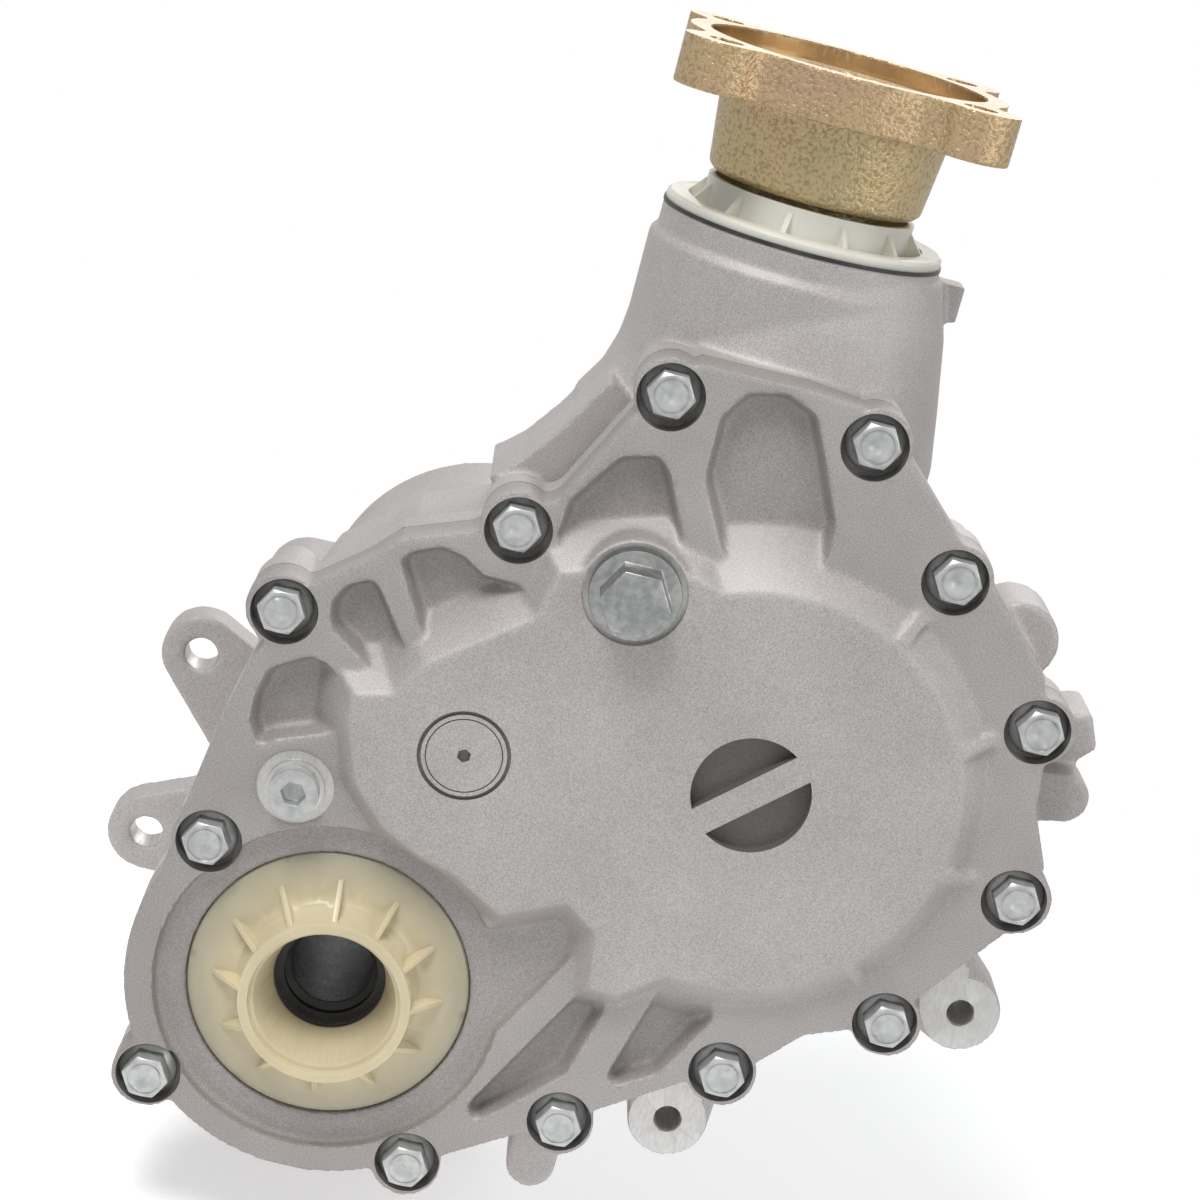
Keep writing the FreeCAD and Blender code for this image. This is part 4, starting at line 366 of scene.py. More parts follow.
class NodeSheet:
    """One material's node tree, built from the left to the right."""

    def __init__(self, name: str) -> None:
        """Starts an empty material with a Principled surface."""
        self.material = bpy.data.materials.new(name)
        self.material.use_nodes = True
        self.tree = self.material.node_tree
        self.tree.nodes.clear()
        self.shader = self.tree.nodes.new("ShaderNodeBsdfPrincipled")
        self.output = self.tree.nodes.new("ShaderNodeOutputMaterial")
        self.tree.links.new(self.shader.outputs["BSDF"], self.output.inputs["Surface"])
        self.place = self.tree.nodes.new("ShaderNodeTexCoord").outputs["Object"]

    def set(self, **values: object) -> None:
        """Sets sockets of the surface; an underscore in a name stands for a space."""
        for name, value in values.items():
            self.shader.inputs[name.replace("_", " ")].default_value = value

    def link(self, source: Socket, target: Socket) -> None:
        """Joins two sockets."""
        self.tree.links.new(source, target)

    def noise(self, scale: float, detail: float = 2.0, roughness: float = 0.5,
              stretch: Triple | None = None) -> Socket:
        """Adds a noise pattern in object space.

        Args:
            scale: cells per metre.
            detail: octaves.
            roughness: weight of the fine octaves.
            stretch: scale along each axis, for drawn or brushed patterns.

        Returns:
            Its value from 0 to 1.
        """
        node = self.tree.nodes.new("ShaderNodeTexNoise")
        node.inputs["Scale"].default_value = scale
        node.inputs["Detail"].default_value = detail
        node.inputs["Roughness"].default_value = roughness
        place = self.place
        if stretch is not None:
            mapping = self.tree.nodes.new("ShaderNodeMapping")
            mapping.inputs["Scale"].default_value = stretch
            self.link(place, mapping.inputs["Vector"])
            place = mapping.outputs["Vector"]
        self.link(place, node.inputs["Vector"])
        return node.outputs["Fac"]

    def ramp(self, source: Socket, low: float, high: float,
             start: float = 0.0, end: float = 1.0) -> Socket:
        """Maps a value from low..high to start..end and clamps it.

        Args:
            source: the value.
            low: what becomes start.
            high: what becomes end.
            start: the result at low.
            end: the result at high.

        Returns:
            The mapped value.
        """
        node = self.tree.nodes.new("ShaderNodeMapRange")
        node.inputs["From Min"].default_value = low
        node.inputs["From Max"].default_value = high
        node.inputs["To Min"].default_value = start
        node.inputs["To Max"].default_value = end
        self.link(source, node.inputs["Value"])
        return node.outputs["Result"]

    def math(self, operation: str, first: object, second: object = None) -> Socket:
        """Adds a math node whose inputs are sockets or numbers.

        Args:
            operation: the node's operation.
            first: its first input.
            second: its second input, if it has one.

        Returns:
            The node's value.
        """
        node = self.tree.nodes.new("ShaderNodeMath")
        node.operation = operation
        for socket, value in zip(node.inputs, (first, second)):
            if isinstance(value, Socket):
                self.link(value, socket)
            elif value is not None:
                socket.default_value = value
        return node.outputs["Value"]

    def axis(self, name: str) -> Socket:
        """One object-space coordinate: X, Y or Z."""
        node = self.tree.nodes.new("ShaderNodeSeparateXYZ")
        self.link(self.place, node.inputs["Vector"])
        return node.outputs[name]

    def radius(self, first: str, second: str, centre: Pair) -> Socket:
        """The distance from an axis along the third coordinate.

        Args:
            first: the first coordinate's name.
            second: the second one's.
            centre: where the axis crosses both, in mm.

        Returns:
            The distance in metres.
        """
        across = self.math("SUBTRACT", self.axis(first), centre[0] * MM)
        along = self.math("SUBTRACT", self.axis(second), centre[1] * MM)
        squares = (self.math("MULTIPLY", value, value) for value in (across, along))
        return self.math("SQRT", self.math("ADD", *squares))

    def mix(self, factor: object, first: object, second: object,
            mode: Mix = Mix.BLEND) -> Socket:
        """Mixes two colours, each a socket or a tuple.

        Args:
            factor: the second colour's weight.
            first: a colour.
            second: a colour.
            mode: how they are mixed.

        Returns:
            The mixed colour.
        """
        node = self.tree.nodes.new("ShaderNodeMix")
        node.data_type = "RGBA"
        node.blend_type = mode.value
        sockets = (node.inputs[0], node.inputs[6], node.inputs[7])
        for socket, value in zip(sockets, (factor, first, second)):
            if isinstance(value, Socket):
                self.link(value, socket)
            elif isinstance(value, tuple):
                socket.default_value = (*value, 1.0)
            else:
                socket.default_value = value
        return node.outputs[2]

    def colour(self, source: Socket) -> None:
        """Gives the surface its colour."""
        self.link(source, self.shader.inputs["Base Color"])

    def roughness(self, source: Socket) -> None:
        """Gives the surface its roughness."""
        self.link(source, self.shader.inputs["Roughness"])

    def bump(self, *layers: tuple[Socket, float, float]) -> None:
        """Stacks bump layers.

        Args:
            layers: height, strength and depth in mm of each layer, the coarse one first.
        """
        normal = None
        for height, strength, depth in layers:
            node = self.tree.nodes.new("ShaderNodeBump")
            node.inputs["Strength"].default_value = strength
            node.inputs["Distance"].default_value = depth * MM
            self.link(height, node.inputs["Height"])
            if normal is not None:
                self.link(normal, node.inputs["Normal"])
            normal = node.outputs["Normal"]
        self.link(normal, self.shader.inputs["Normal"])


@dataclass(frozen=True)
class CastAluminium:
    """Sand-blasted casting: fine grain and faint cloudy patches; given a recess span, it also gets painted
    shade, darker in its recesses and towards its lower left.
    """

    name: str = "cast_aluminium"
    body: Triple = (0.52, 0.492, 0.478)
    shade: Triple = (0.405, 0.378, 0.366)
    # Painted shade: the colour that the pockets and the lower left are darkened towards
    recess: Triple = (0.235, 0.212, 0.204)
    grain: float = 2100.0
    painted_recess_shade_span: Pair | None = None
    painted_recess_shade_weight: float = 0.46
    # Painted shade: the X plus Z span in mm over which the lower left darkens, and its strength
    painted_side_shade_span: Pair = (120.0, -70.0)
    painted_side_shade_weight: float = 0.34

    def build(self) -> bpy.types.Material:
        """Returns the finished material."""
        sheet = NodeSheet(self.name)
        cloud = sheet.ramp(sheet.noise(26.0, 4.0, 0.6), 0.34, 0.68)
        grain = sheet.noise(self.grain, 3.0, 0.7)
        base = sheet.mix(sheet.math("MULTIPLY", cloud, 0.5), self.body, self.shade)
        # Painted shade: darker the deeper the surface lies behind the cover's front, with a wavy edge
        if self.painted_recess_shade_span is not None:
            low, high = (value * MM for value in self.painted_recess_shade_span)
            waver = sheet.ramp(sheet.noise(60.0, 3.0, 0.6), 0.3, 0.7, -MM, MM)
            depth = sheet.math("ADD", sheet.axis("Y"), waver)
            base = sheet.mix(sheet.ramp(depth, low, high, 0.0, self.painted_recess_shade_weight), base, self.recess)
            # Painted shade: darker towards the lower left, where X plus Z is low
            start, end = (value * MM for value in self.painted_side_shade_span)
            across = sheet.math("ADD", sheet.axis("X"), sheet.axis("Z"))
            base = sheet.mix(sheet.ramp(across, start, end, 0.0, self.painted_side_shade_weight), base, self.recess)
        speck = sheet.ramp(grain, 0.32, 0.7, 0.68, 1.24)
        combine = sheet.tree.nodes.new("ShaderNodeCombineColor")
        for name in ("Red", "Green", "Blue"):
            sheet.link(speck, combine.inputs[name])
        sheet.colour(sheet.mix(1.0, base, combine.outputs["Color"], Mix.MULTIPLY))
        sheet.roughness(sheet.ramp(grain, 0.3, 0.7, 0.5, 0.68))
        sheet.set(Metallic=0.45)
        sheet.bump((sheet.noise(420.0, 3.0, 0.6), 0.2, 0.25), (grain, 0.7, 0.14))
        return sheet.material


@dataclass(frozen=True)
class MachinedAluminium:
    """Bored and faced aluminium with faint tool lines."""

    body: Triple = (0.64, 0.632, 0.624)
    shade: Triple = (0.57, 0.562, 0.554)

    def build(self) -> bpy.types.Material:
        """Returns the finished material."""
        sheet = NodeSheet("machined_aluminium")
        lines = sheet.noise(1500.0, 2.0, 0.5, (1.0, 0.05, 0.3))
        sheet.colour(sheet.mix(sheet.ramp(lines, 0.35, 0.65), self.body, self.shade))
        sheet.roughness(sheet.ramp(lines, 0.3, 0.7, 0.34, 0.46))
        sheet.set(Metallic=0.7)
        sheet.bump((lines, 0.12, 0.05))
        return sheet.material


@dataclass(frozen=True)
class Plating:
    """Plated or bare steel, with fine handling marks."""

    name: str
    body: Triple
    shade: Triple
    roughness_low: float = 0.24
    roughness_high: float = 0.42
    metallic: float = 0.9
    mottle: float = 160.0
    grain: float = 1200.0
    grain_depth: float = 0.03

    def build(self) -> bpy.types.Material:
        """Returns the finished material."""
        sheet = NodeSheet(self.name)
        mottle = sheet.noise(self.mottle, 3.0, 0.55)
        grain = sheet.noise(self.grain, 2.0, 0.6)
        sheet.colour(sheet.mix(sheet.ramp(mottle, 0.34, 0.66), self.body, self.shade))
        sheet.roughness(sheet.ramp(grain, 0.3, 0.7, self.roughness_low, self.roughness_high))
        sheet.set(Metallic=self.metallic)
        sheet.bump((grain, 0.25, self.grain_depth))
        return sheet.material


@dataclass(frozen=True)
class GoldCasting:
    """Yellow zinc on a rough forging: pinkish gold on the flange, yellower and greener on its hub."""

    flange_span: Pair
    gold: Triple = (0.54, 0.405, 0.225)
    blush: Triple = (0.53, 0.365, 0.235)
    hub: Triple = (0.5, 0.41, 0.23)
    pit: Triple = (0.215, 0.155, 0.085)

    def build(self) -> bpy.types.Material:
        """Returns the finished material."""
        sheet = NodeSheet("gold_zinc_casting")
        patches = sheet.ramp(sheet.noise(38.0, 2.0, 0.5), 0.38, 0.62)
        upper = sheet.mix(patches, self.gold, self.blush)
        lower = sheet.mix(patches, self.hub, self.gold)
        low, high = (value * MM for value in self.flange_span)
        base = sheet.mix(sheet.ramp(sheet.axis("Z"), low, high), lower, upper)
        pebble = sheet.noise(820.0, 2.0, 0.6)
        sheet.colour(sheet.mix(sheet.ramp(pebble, 0.38, 0.52, 0.5, 0.0), base, self.pit))
        sheet.roughness(sheet.ramp(pebble, 0.35, 0.65, 0.48, 0.3))
        sheet.set(Metallic=0.85)
        sheet.bump((sheet.noise(260.0, 2.0, 0.5), 0.35, 0.5), (pebble, 1.0, 0.5))
        return sheet.material


@dataclass(frozen=True)
class GoldTurned:
    """Yellow zinc on a turned face, with rings of tool marks about the output axis."""

    centre: Pair
    body: Triple = (0.6, 0.445, 0.255)
    shade: Triple = (0.48, 0.335, 0.175)

    def build(self) -> bpy.types.Material:
        """Returns the finished material."""
        sheet = NodeSheet("gold_zinc_turned")
        radius = sheet.radius("X", "Y", self.centre)
        rings = sheet.math("SINE", sheet.math("MULTIPLY", radius, 2 * math.pi / (0.7 * MM)))
        tone = sheet.ramp(sheet.noise(45.0, 3.0, 0.55), 0.35, 0.65)
        sheet.colour(sheet.mix(tone, self.body, self.shade))
        sheet.roughness(sheet.ramp(rings, -1.0, 1.0, 0.2, 0.3))
        sheet.set(Metallic=0.92)
        sheet.bump((rings, 0.1, 0.03), (sheet.noise(900.0, 2.0, 0.5), 0.1, 0.02))
        return sheet.material


@dataclass(frozen=True)
class Nylon:
    """Natural nylon: cream, a little translucent, and, given a rim span, painted shade towards an outer rim,
    standing in for the light through the thin rim.
    """

    name: str = "natural_nylon"
    body: Triple = (0.67, 0.59, 0.4)
    deep: Triple = (0.6, 0.52, 0.34)
    # Painted shade: the colour towards the outer rim, for the light through the thin rim
    rim: Triple = (0.4, 0.37, 0.275)
    painted_rim_shade_span: Pair | None = None

    def build(self) -> bpy.types.Material:
        """Returns the finished material."""
        sheet = NodeSheet(self.name)
        tone = sheet.mix(sheet.ramp(sheet.noise(42.0, 2.0, 0.5), 0.35, 0.7), self.body, self.deep)
        # Painted shade: darker with the distance from the input axis across the rim span
        if self.painted_rim_shade_span is not None:
            radius = sheet.radius("X", "Z", (0.0, 0.0))
            low, high = (value * MM for value in self.painted_rim_shade_span)
            tone = sheet.mix(sheet.ramp(radius, low, high), tone, self.rim)
        sheet.colour(tone)
        sheet.roughness(sheet.ramp(sheet.noise(700.0, 2.0, 0.5), 0.3, 0.7, 0.28, 0.4))
        sheet.set(Subsurface_Weight=0.35, Subsurface_Scale=0.004, Subsurface_Radius=(1.0, 0.8, 0.45))
        sheet.bump((sheet.noise(90.0, 2.0, 0.5), 0.12, 0.3), (sheet.noise(900.0, 2.0, 0.5), 0.08, 0.03))
        return sheet.material


@dataclass(frozen=True)
class Elastomer:
    """Rubber or cured sealant: dark and matt, with a fine moulded skin."""

    name: str
    body: Triple = (0.018, 0.018, 0.019)
    dust: Triple = (0.05, 0.048, 0.045)

    def build(self) -> bpy.types.Material:
        """Returns the finished material."""
        sheet = NodeSheet(self.name)
        dust = sheet.ramp(sheet.noise(140.0, 3.0, 0.6), 0.45, 0.75)
        sheet.colour(sheet.mix(dust, self.body, self.dust))
        sheet.roughness(sheet.ramp(dust, 0.0, 1.0, 0.42, 0.66))
        sheet.bump((sheet.noise(1100.0, 2.0, 0.5), 0.3, 0.05))
        return sheet.material


class Finishes:
    """Every finish of the part, built once."""

    def __init__(self, output_axis: Pair, flange_span: Pair) -> None:
        """Builds the materials.

        Args:
            output_axis: X and Y of the output axis, in mm.
            flange_span: heights between which the hub's tone turns into the flange's, in mm.
        """
        self.cast = CastAluminium().build()
        # The cover's material has painted shade in its pockets and towards its lower left
        self.cover = CastAluminium("cast_aluminium_cover", painted_recess_shade_span=(-146.8, -131.0)).build()
        # Darker cast skin with painted shade, for the transfer slot and the pin's dimple
        self.dark = CastAluminium("cast_aluminium_dark", (0.205, 0.19, 0.182), (0.15, 0.138, 0.132)).build()
        # Oil with painted shade, for the bolt seats and the pin's grooves
        self.oil_and_painted_shade = CastAluminium("oily_seat", (0.26, 0.246, 0.236), (0.13, 0.122, 0.116)).build()
        self.machined = MachinedAluminium().build()
        self.zinc = Plating(
            "zinc_plating", (0.58, 0.588, 0.574), (0.44, 0.45, 0.44), 0.3, 0.5, 0.5, 300.0
        ).build()
        # Darker zinc for the filler plug: a painted reflection, standing in for its dark mirror-like hex top
        self.plug_zinc = Plating(
            "plug_plating", (0.43, 0.44, 0.43), (0.3, 0.308, 0.3), 0.26, 0.5, 0.9, 420.0
        ).build()
        self.washer = Plating("soft_washer", (0.66, 0.655, 0.63), (0.56, 0.555, 0.53)).build()
        self.gold_cast = GoldCasting(flange_span).build()
        self.gold_turned = GoldTurned(output_axis).build()
        # The nylon plug has painted shade towards its outer rim
        self.nylon = Nylon(painted_rim_shade_span=(31.0, 44.0)).build()
        self.pale_nylon = Nylon("pale_nylon", (0.72, 0.71, 0.63), (0.65, 0.635, 0.55)).build()
        self.rubber = Elastomer("black_rubber").build()
        self.sealant = Elastomer("cured_sealant", (0.075, 0.072, 0.07), (0.14, 0.135, 0.13)).build()
        self.shaft = Plating("turned_shaft_steel", (0.4, 0.4, 0.405), (0.32, 0.32, 0.325)).build()
        self.gear = Plating(
            "ground_gear_steel", (0.3, 0.3, 0.31), (0.225, 0.225, 0.235), 0.28, 0.46, 0.9, 90.0
        ).build()
        self.bearing = Plating(
            "bearing_steel", (0.56, 0.56, 0.57), (0.48, 0.48, 0.49), 0.14, 0.24
        ).build()
        self.steel = Plating("plain_steel", (0.46, 0.455, 0.45), (0.37, 0.365, 0.36)).build()
        self.by_slot = {
            "cast_aluminium": self.cast,
            "zinc_steel": self.zinc,
            "bright_washer": self.washer,
            "gold_zinc": self.gold_cast,
            "nylon": self.nylon,
            "seal_rubber": self.rubber,
            "sealant": self.sealant,
            "shaft_steel": self.shaft,
            "gear_steel": self.gear,
            "bearing_steel": self.bearing,
            "plain_steel": self.steel,
        }

    def dress(self, obj: Piece, *materials: bpy.types.Material) -> None:
        """Gives an object these materials, in the order of its slots."""
        obj.data.materials.clear()
        for material in materials:
            obj.data.materials.append(material)

    def dress_nodes(self, frame: dict) -> None:
        """Dresses every node of the frame by the record's slots."""
        for row in frame["record"]["subparts"]:
            self.dress(frame["nodes"][row["node"]], self.by_slot[row["material_slot"]])
        self.dress(frame["nodes"]["idler_pin"], self.cover)


@dataclass
class Castings:
    """Case and cover, rounded as one casting each and bored again.

    Both are halved at the joint face, so the cover's input sleeve, which reaches behind it, is in the
    case's piece. Radii and depths are in mm, and depths of the cover count from the joint face forwards.
    """

    frame: dict
    finishes: Finishes
    voxel: float = 1.1
    blend_rounds: int = 3
    triangles: int = 190000
    rim: float = 14.0
    seat_depth: float = 8.0
    seat_radius: float = 10.3
    seat_shift: float = 0.9
    bolt_hole: float = 4.5
    bolt_thread: float = 4.1
    cover_front: float = 21.0
    pin_grooves: tuple[Triple, ...] = ((14.3, 13.1, 1.2), (11.9, 11.2, 0.7))
    pin_dimple: Pair = (2.2, 1.6)
    fill_seat: Pair = (16.0, 18.0)
    level_seat: Pair = (12.0, 13.0)
    plug_bore: Pair = (44.7, 3.0)
    cup_bore: float = 37.6
    slot: tuple[float, float, float, float] = (18.5, 5.0, 9.0, 42.0)
    pin_bore: Pair = (11.52, 1.5)
    dimple_rise: float = 0.3
    oil_bores: Pair = (9.05, 6.05)
    cup_reach: float = 60.0
    transfer_bore: Pair = (31.05, 0.6)
    # Fills: how far they lap the seats and stand proud, then radius, front and end of each
    fill_lap: float = 0.8
    proud: float = 0.1
    fill_ends: Pair = (3.0, 12.0)
    level_fill: Triple = (7.0, 10.9, 4.0)
    plug_fill: Pair = (17.0, 10.0)
    # Case: radius, start and end along the axis
    thread_span: Pair = (-2.0, 20.0)
    lug_offset: float = 60.0
    lug_reach: float = 2.0
    lug_face: Pair = (12.5, 0.4)
    neck_bores: tuple[float, float, float, float] = (40.05, 35.0, 36.05, 41.55)
    neck_drops: Pair = (4.0, 10.0)
    inner_wall: float = -15.0
    input_bores: tuple[Triple, ...] = (
        (37.55, -15.0, 6.0), (37.55, 11.0, 40.0), (32.5, 0.0, 40.0))
    pilot_groove: tuple[float, float, float, float] = (46.0, 42.0, 3.0, 4.0)
    idler_bore: Triple = (11.55, -20.0, -4.0)

    def build(self) -> None:
        """Builds both castings in place of their nodes."""
        self.bolts = Bench.solids_of(self.frame, "cover_bolts")
        self.output = Bench.middle_of("pinion_nut")
        nodes = ("idler_pin", "transfer_shaft", "fill_plug_washer", "level_plug_washer")
        self.idler, self.transfer, self.fill, self.level = (
            (spot.x, spot.z) for spot in map(Bench.middle_of, nodes))
        raw = Bench.copy_of(self.frame, "raw_casting", "case", "cover", "cover_sealant")
        raw = Bench.join("raw_casting", raw, *self.fills())
        Bench.round_off(raw, self.voxel, self.blend_rounds)
        LOG.info("raw casting: %d faces", len(raw.data.polygons))
        twin = Bench.join("cover_casting", self.twin_of(raw))
        raw.name = "case_casting"
        wide = HALVING_REACH
        front = Bench.block(Vector((-wide, -wide, -wide)), Vector((wide, JOINT_PLANE - SEALANT, wide)))
        rear = Bench.block(Vector((-wide, JOINT_PLANE, -wide)), Vector((wide, wide, wide)))
        rows = (
            (twin, "cover", self.finishes.cover, front, self.cover_cuts()),
            (raw, "case", self.finishes.cast, rear, self.case_cuts()),
        )
        for piece, node, skin, half, cuts in rows:
            self.finishes.dress(piece, skin, self.finishes.machined)
            self.finishes.dress(half, self.finishes.machined)
            Bench.combine(piece, half, "INTERSECT")
            Bench.combine(piece, Bench.union(cuts), "DIFFERENCE")
            faces = sum(len(polygon.vertices) - 2 for polygon in piece.data.polygons)
            LOG.info("%s: %d triangles before thinning", piece.name, faces)
            if faces > self.triangles:
                Bench.modify(piece, "DECIMATE", ratio=self.triangles / faces, use_collapse_triangulate=True)
            Bench.smooth(piece)
            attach(piece, "housing")
            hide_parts(node)
            LOG.info("%s: %d faces", piece.name, len(piece.data.polygons))

    def twin_of(self, obj: Piece) -> Piece:
        """A second object with its own copy of the mesh."""
        twin = bpy.data.objects.new(obj.name + "_twin", obj.data.copy())
        bpy.context.scene.collection.objects.link(twin)
        return twin

    def at(self, depth: float) -> float:
        """Y of a depth that is measured from the joint face to the rear."""
        return JOINT_PLANE + depth

    def bore(
        self, centre: Pair, radius: float, start: float, end: float,
        finish: bpy.types.Material, lay: Lay = Lay.ALONG_Y, sides: int = 96,
    ) -> Piece:
        """A dressed cutting bar.

        Args:
            centre: the axis' two coordinates across the bar, in mm.
            radius: in mm.
            start: where it begins along its axis, in mm.
            end: where it ends.
            finish: what it leaves on the cut faces.
            lay: the direction of its axis.
            sides: the number of sides.

        Returns:
            The bar.
        """
        bar = Bench.disc(centre, radius, start, end, lay, sides)
        self.finishes.dress(bar, finish)
        return bar

    def ring(
        self, centre: Pair, outer: float, inner: float, start: float, end: float,
        finish: bpy.types.Material,
    ) -> Piece:
        """A dressed cutting tube along Y, from start to end in mm.

        Args:
            centre: X and Z of its axis, in mm.
            outer: its outer radius.
            inner: its inner radius.
            start: where it begins.
            end: where it ends.
            finish: what it leaves on the cut faces.

        Returns:
            The tube.
        """
        tube = self.bore(centre, outer, start, end, finish)
        Bench.combine(tube, self.bore(centre, inner, start - MARGIN, end + MARGIN, finish), "DIFFERENCE")
        return tube

    def fills(self) -> list[Piece]:
        """Closes the bores that are cut again after the rounding."""
        along = Lay.ALONG_Y
        bolt_end, pin_end = self.fill_ends
        fills = [
            Bench.disc((bolt.x, bolt.z), self.seat_radius + self.fill_lap,
                       self.at(self.proud - self.rim), self.at(-bolt_end), along)
            for bolt in self.bolts
        ]
        front = self.at(self.proud - self.cover_front)
        fills.append(Bench.disc(self.idler, self.pin_grooves[0][0] + MARGIN, front, self.at(-pin_end), along))
        radius, top, end = self.level_fill
        fills.append(Bench.disc(self.level, radius, self.at(-top), self.at(-end), along))
        radius, end = self.plug_fill
        fills.append(Bench.disc(self.fill, radius, front, self.at(-end), along))
        slot_floor = self.at(self.slot[1] + MARGIN - self.cover_front)
        fills.append(Bench.disc(self.transfer, self.slot[0] + MARGIN, front, slot_floor, along))
        return fills

    def slot_tool(self, front: float) -> Piece:
        """The two half-moon recesses over the transfer shaft, with the bar between them left out."""
        radius, depth, width, angle = self.slot
        centre = self.transfer
        # The slot's floor and walls get darker skin with painted shade
        tool = self.bore(centre, radius, front, self.at(depth - self.cover_front), self.finishes.dark)
        low = Vector((-2 * radius, front - MARGIN, -width / 2))
        bar = Bench.block(low, Vector((2 * radius, 0, width / 2)))
        bar.rotation_euler = (0, -math.radians(angle), 0)
        bar.location = Vector((centre[0], 0, centre[1])) * MM
        Bench.settle(bar)
        self.finishes.dress(bar, self.finishes.dark)
        Bench.combine(tool, bar, "DIFFERENCE")
        return tool

    def cover_cuts(self) -> list[Piece]:
        """The cover's bores, seats and recesses."""
        machined, dark, oil_and_painted_shade = self.finishes.machined, self.finishes.dark, self.finishes.oil_and_painted_shade
        front = self.at(-FRONT_REACH)
        face = self.at(-self.cover_front)
        behind = self.at(MARGIN)
        cuts = []
        middle = sum(self.bolts, Vector()) / len(self.bolts)
        for bolt in self.bolts:
            centre = (bolt.x, bolt.z)
            inward = (middle - bolt).normalized() * self.seat_shift
            seat = (bolt.x + inward.x, bolt.z + inward.z)
            # Bolt seats get oil with painted shade, standing in for the counterbores' shadow
            cuts.append(self.bore(seat, self.seat_radius, front, self.at(-self.seat_depth), oil_and_painted_shade, sides=64))
            cuts.append(self.bore(centre, self.bolt_hole, front, behind, machined, sides=32))
        for outer, inner, depth in self.pin_grooves:
            # The pin's grooves get oil with painted shade
            cuts.append(self.ring(self.idler, outer, inner, front, face + depth, oil_and_painted_shade))
        pin_radius, pin_depth = self.pin_bore
        cuts.append(self.bore(self.idler, pin_radius, face + pin_depth, behind, machined))
        dimple_radius, dimple_depth = self.pin_dimple
        floor = face + dimple_depth - self.dimple_rise
        # The dimple gets darker skin with painted shade
        cuts.append(self.bore(self.idler, dimple_radius, front, floor, dark, sides=6))
        seats = (self.fill_seat, self.level_seat)
        for centre, seat, bore in zip((self.fill, self.level), seats, self.oil_bores):
            cuts.append(self.bore(centre, seat[0], front, self.at(-seat[1]), machined))
            cuts.append(self.bore(centre, bore, front, behind, machined))
        plug_radius, plug_floor = self.plug_bore
        cuts.append(self.bore((0, 0), plug_radius, front, self.at(-plug_floor), machined, sides=160))
        cuts.append(self.bore((0, 0), self.cup_bore, front, self.at(self.cup_reach), machined, sides=128))
        radius, gap = self.transfer_bore
        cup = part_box("transfer_front_cup")[0].y / MM - gap
        cuts.append(self.bore(self.transfer, radius, cup, behind, machined))
        cuts.append(self.slot_tool(front))
        return cuts

    def case_cuts(self) -> list[Piece]:
        """The case's machined bores and faces."""
        machined = self.finishes.machined
        up = Lay.ALONG_Z
        output = (self.output.x, self.output.y)
        start, end = (self.at(depth) for depth in self.thread_span)
        cuts = [self.bore((bolt.x, bolt.z), self.bolt_thread, start, end, machined, sides=32)
                for bolt in self.bolts]
        face_radius, face_cut = self.lug_face
        for mount in self.frame["record"]["mounts"]:
            place = Vector(mount["pos_m"]) / MM
            beside = abs(place.x) > self.lug_offset and mount["axis"][1]
            if mount["kind"] in ("bore", "threaded_hole") and beside:
                centre = (place.x, place.z)
                half = mount["dims"]["length_mm"] / 2
                reach = self.lug_reach if mount["kind"] == "bore" else 0.0
                start, end = place.y - half - self.lug_reach, place.y + half + reach
                cuts.append(self.bore(centre, mount["dims"]["r_mm"], start, end, machined, sides=48))
                if mount["kind"] == "threaded_hole":
                    start, end = place.y - half - 2 * self.lug_reach, place.y - half + face_cut
                    cuts.append(self.bore(centre, face_radius, start, end, machined, sides=64))
        inner_low, inner_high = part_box("pinion_inner_cup")
        inner_seat, throat, outer_seat, spigot = self.neck_bores
        inner_drop, outer_drop = self.neck_drops
        start, end = inner_low.z / MM - inner_drop, inner_high.z / MM + MARGIN
        cuts.append(self.bore(output, inner_seat, start, end, machined, up))
        shield_low, shield_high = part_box("dust_shield")
        outer_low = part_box("pinion_outer_cup")[0]
        top = shield_high.z / MM
        cuts.append(self.bore(output, throat, outer_low.z / MM - outer_drop, top, machined, up))
        cuts.append(self.bore(output, outer_seat, outer_low.z / MM, top, machined, up))
        cuts.append(self.bore(output, spigot, shield_low.z / MM, top, machined, up))
        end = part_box("transfer_rear_cup")[1].y / MM + MARGIN
        cuts.append(self.bore(self.transfer, self.transfer_bore[0], self.inner_wall, end, machined))
        for radius, start, end in self.input_bores:
            cuts.append(self.bore((0, 0), radius, start, end, machined))
        outer, inner, depth, end = self.pilot_groove
        cuts.append(self.ring((0, 0), outer, inner, -depth, end, machined))
        radius, start, end = self.idler_bore
        cuts.append(self.bore(self.idler, radius, start, end, machined))
        return cuts


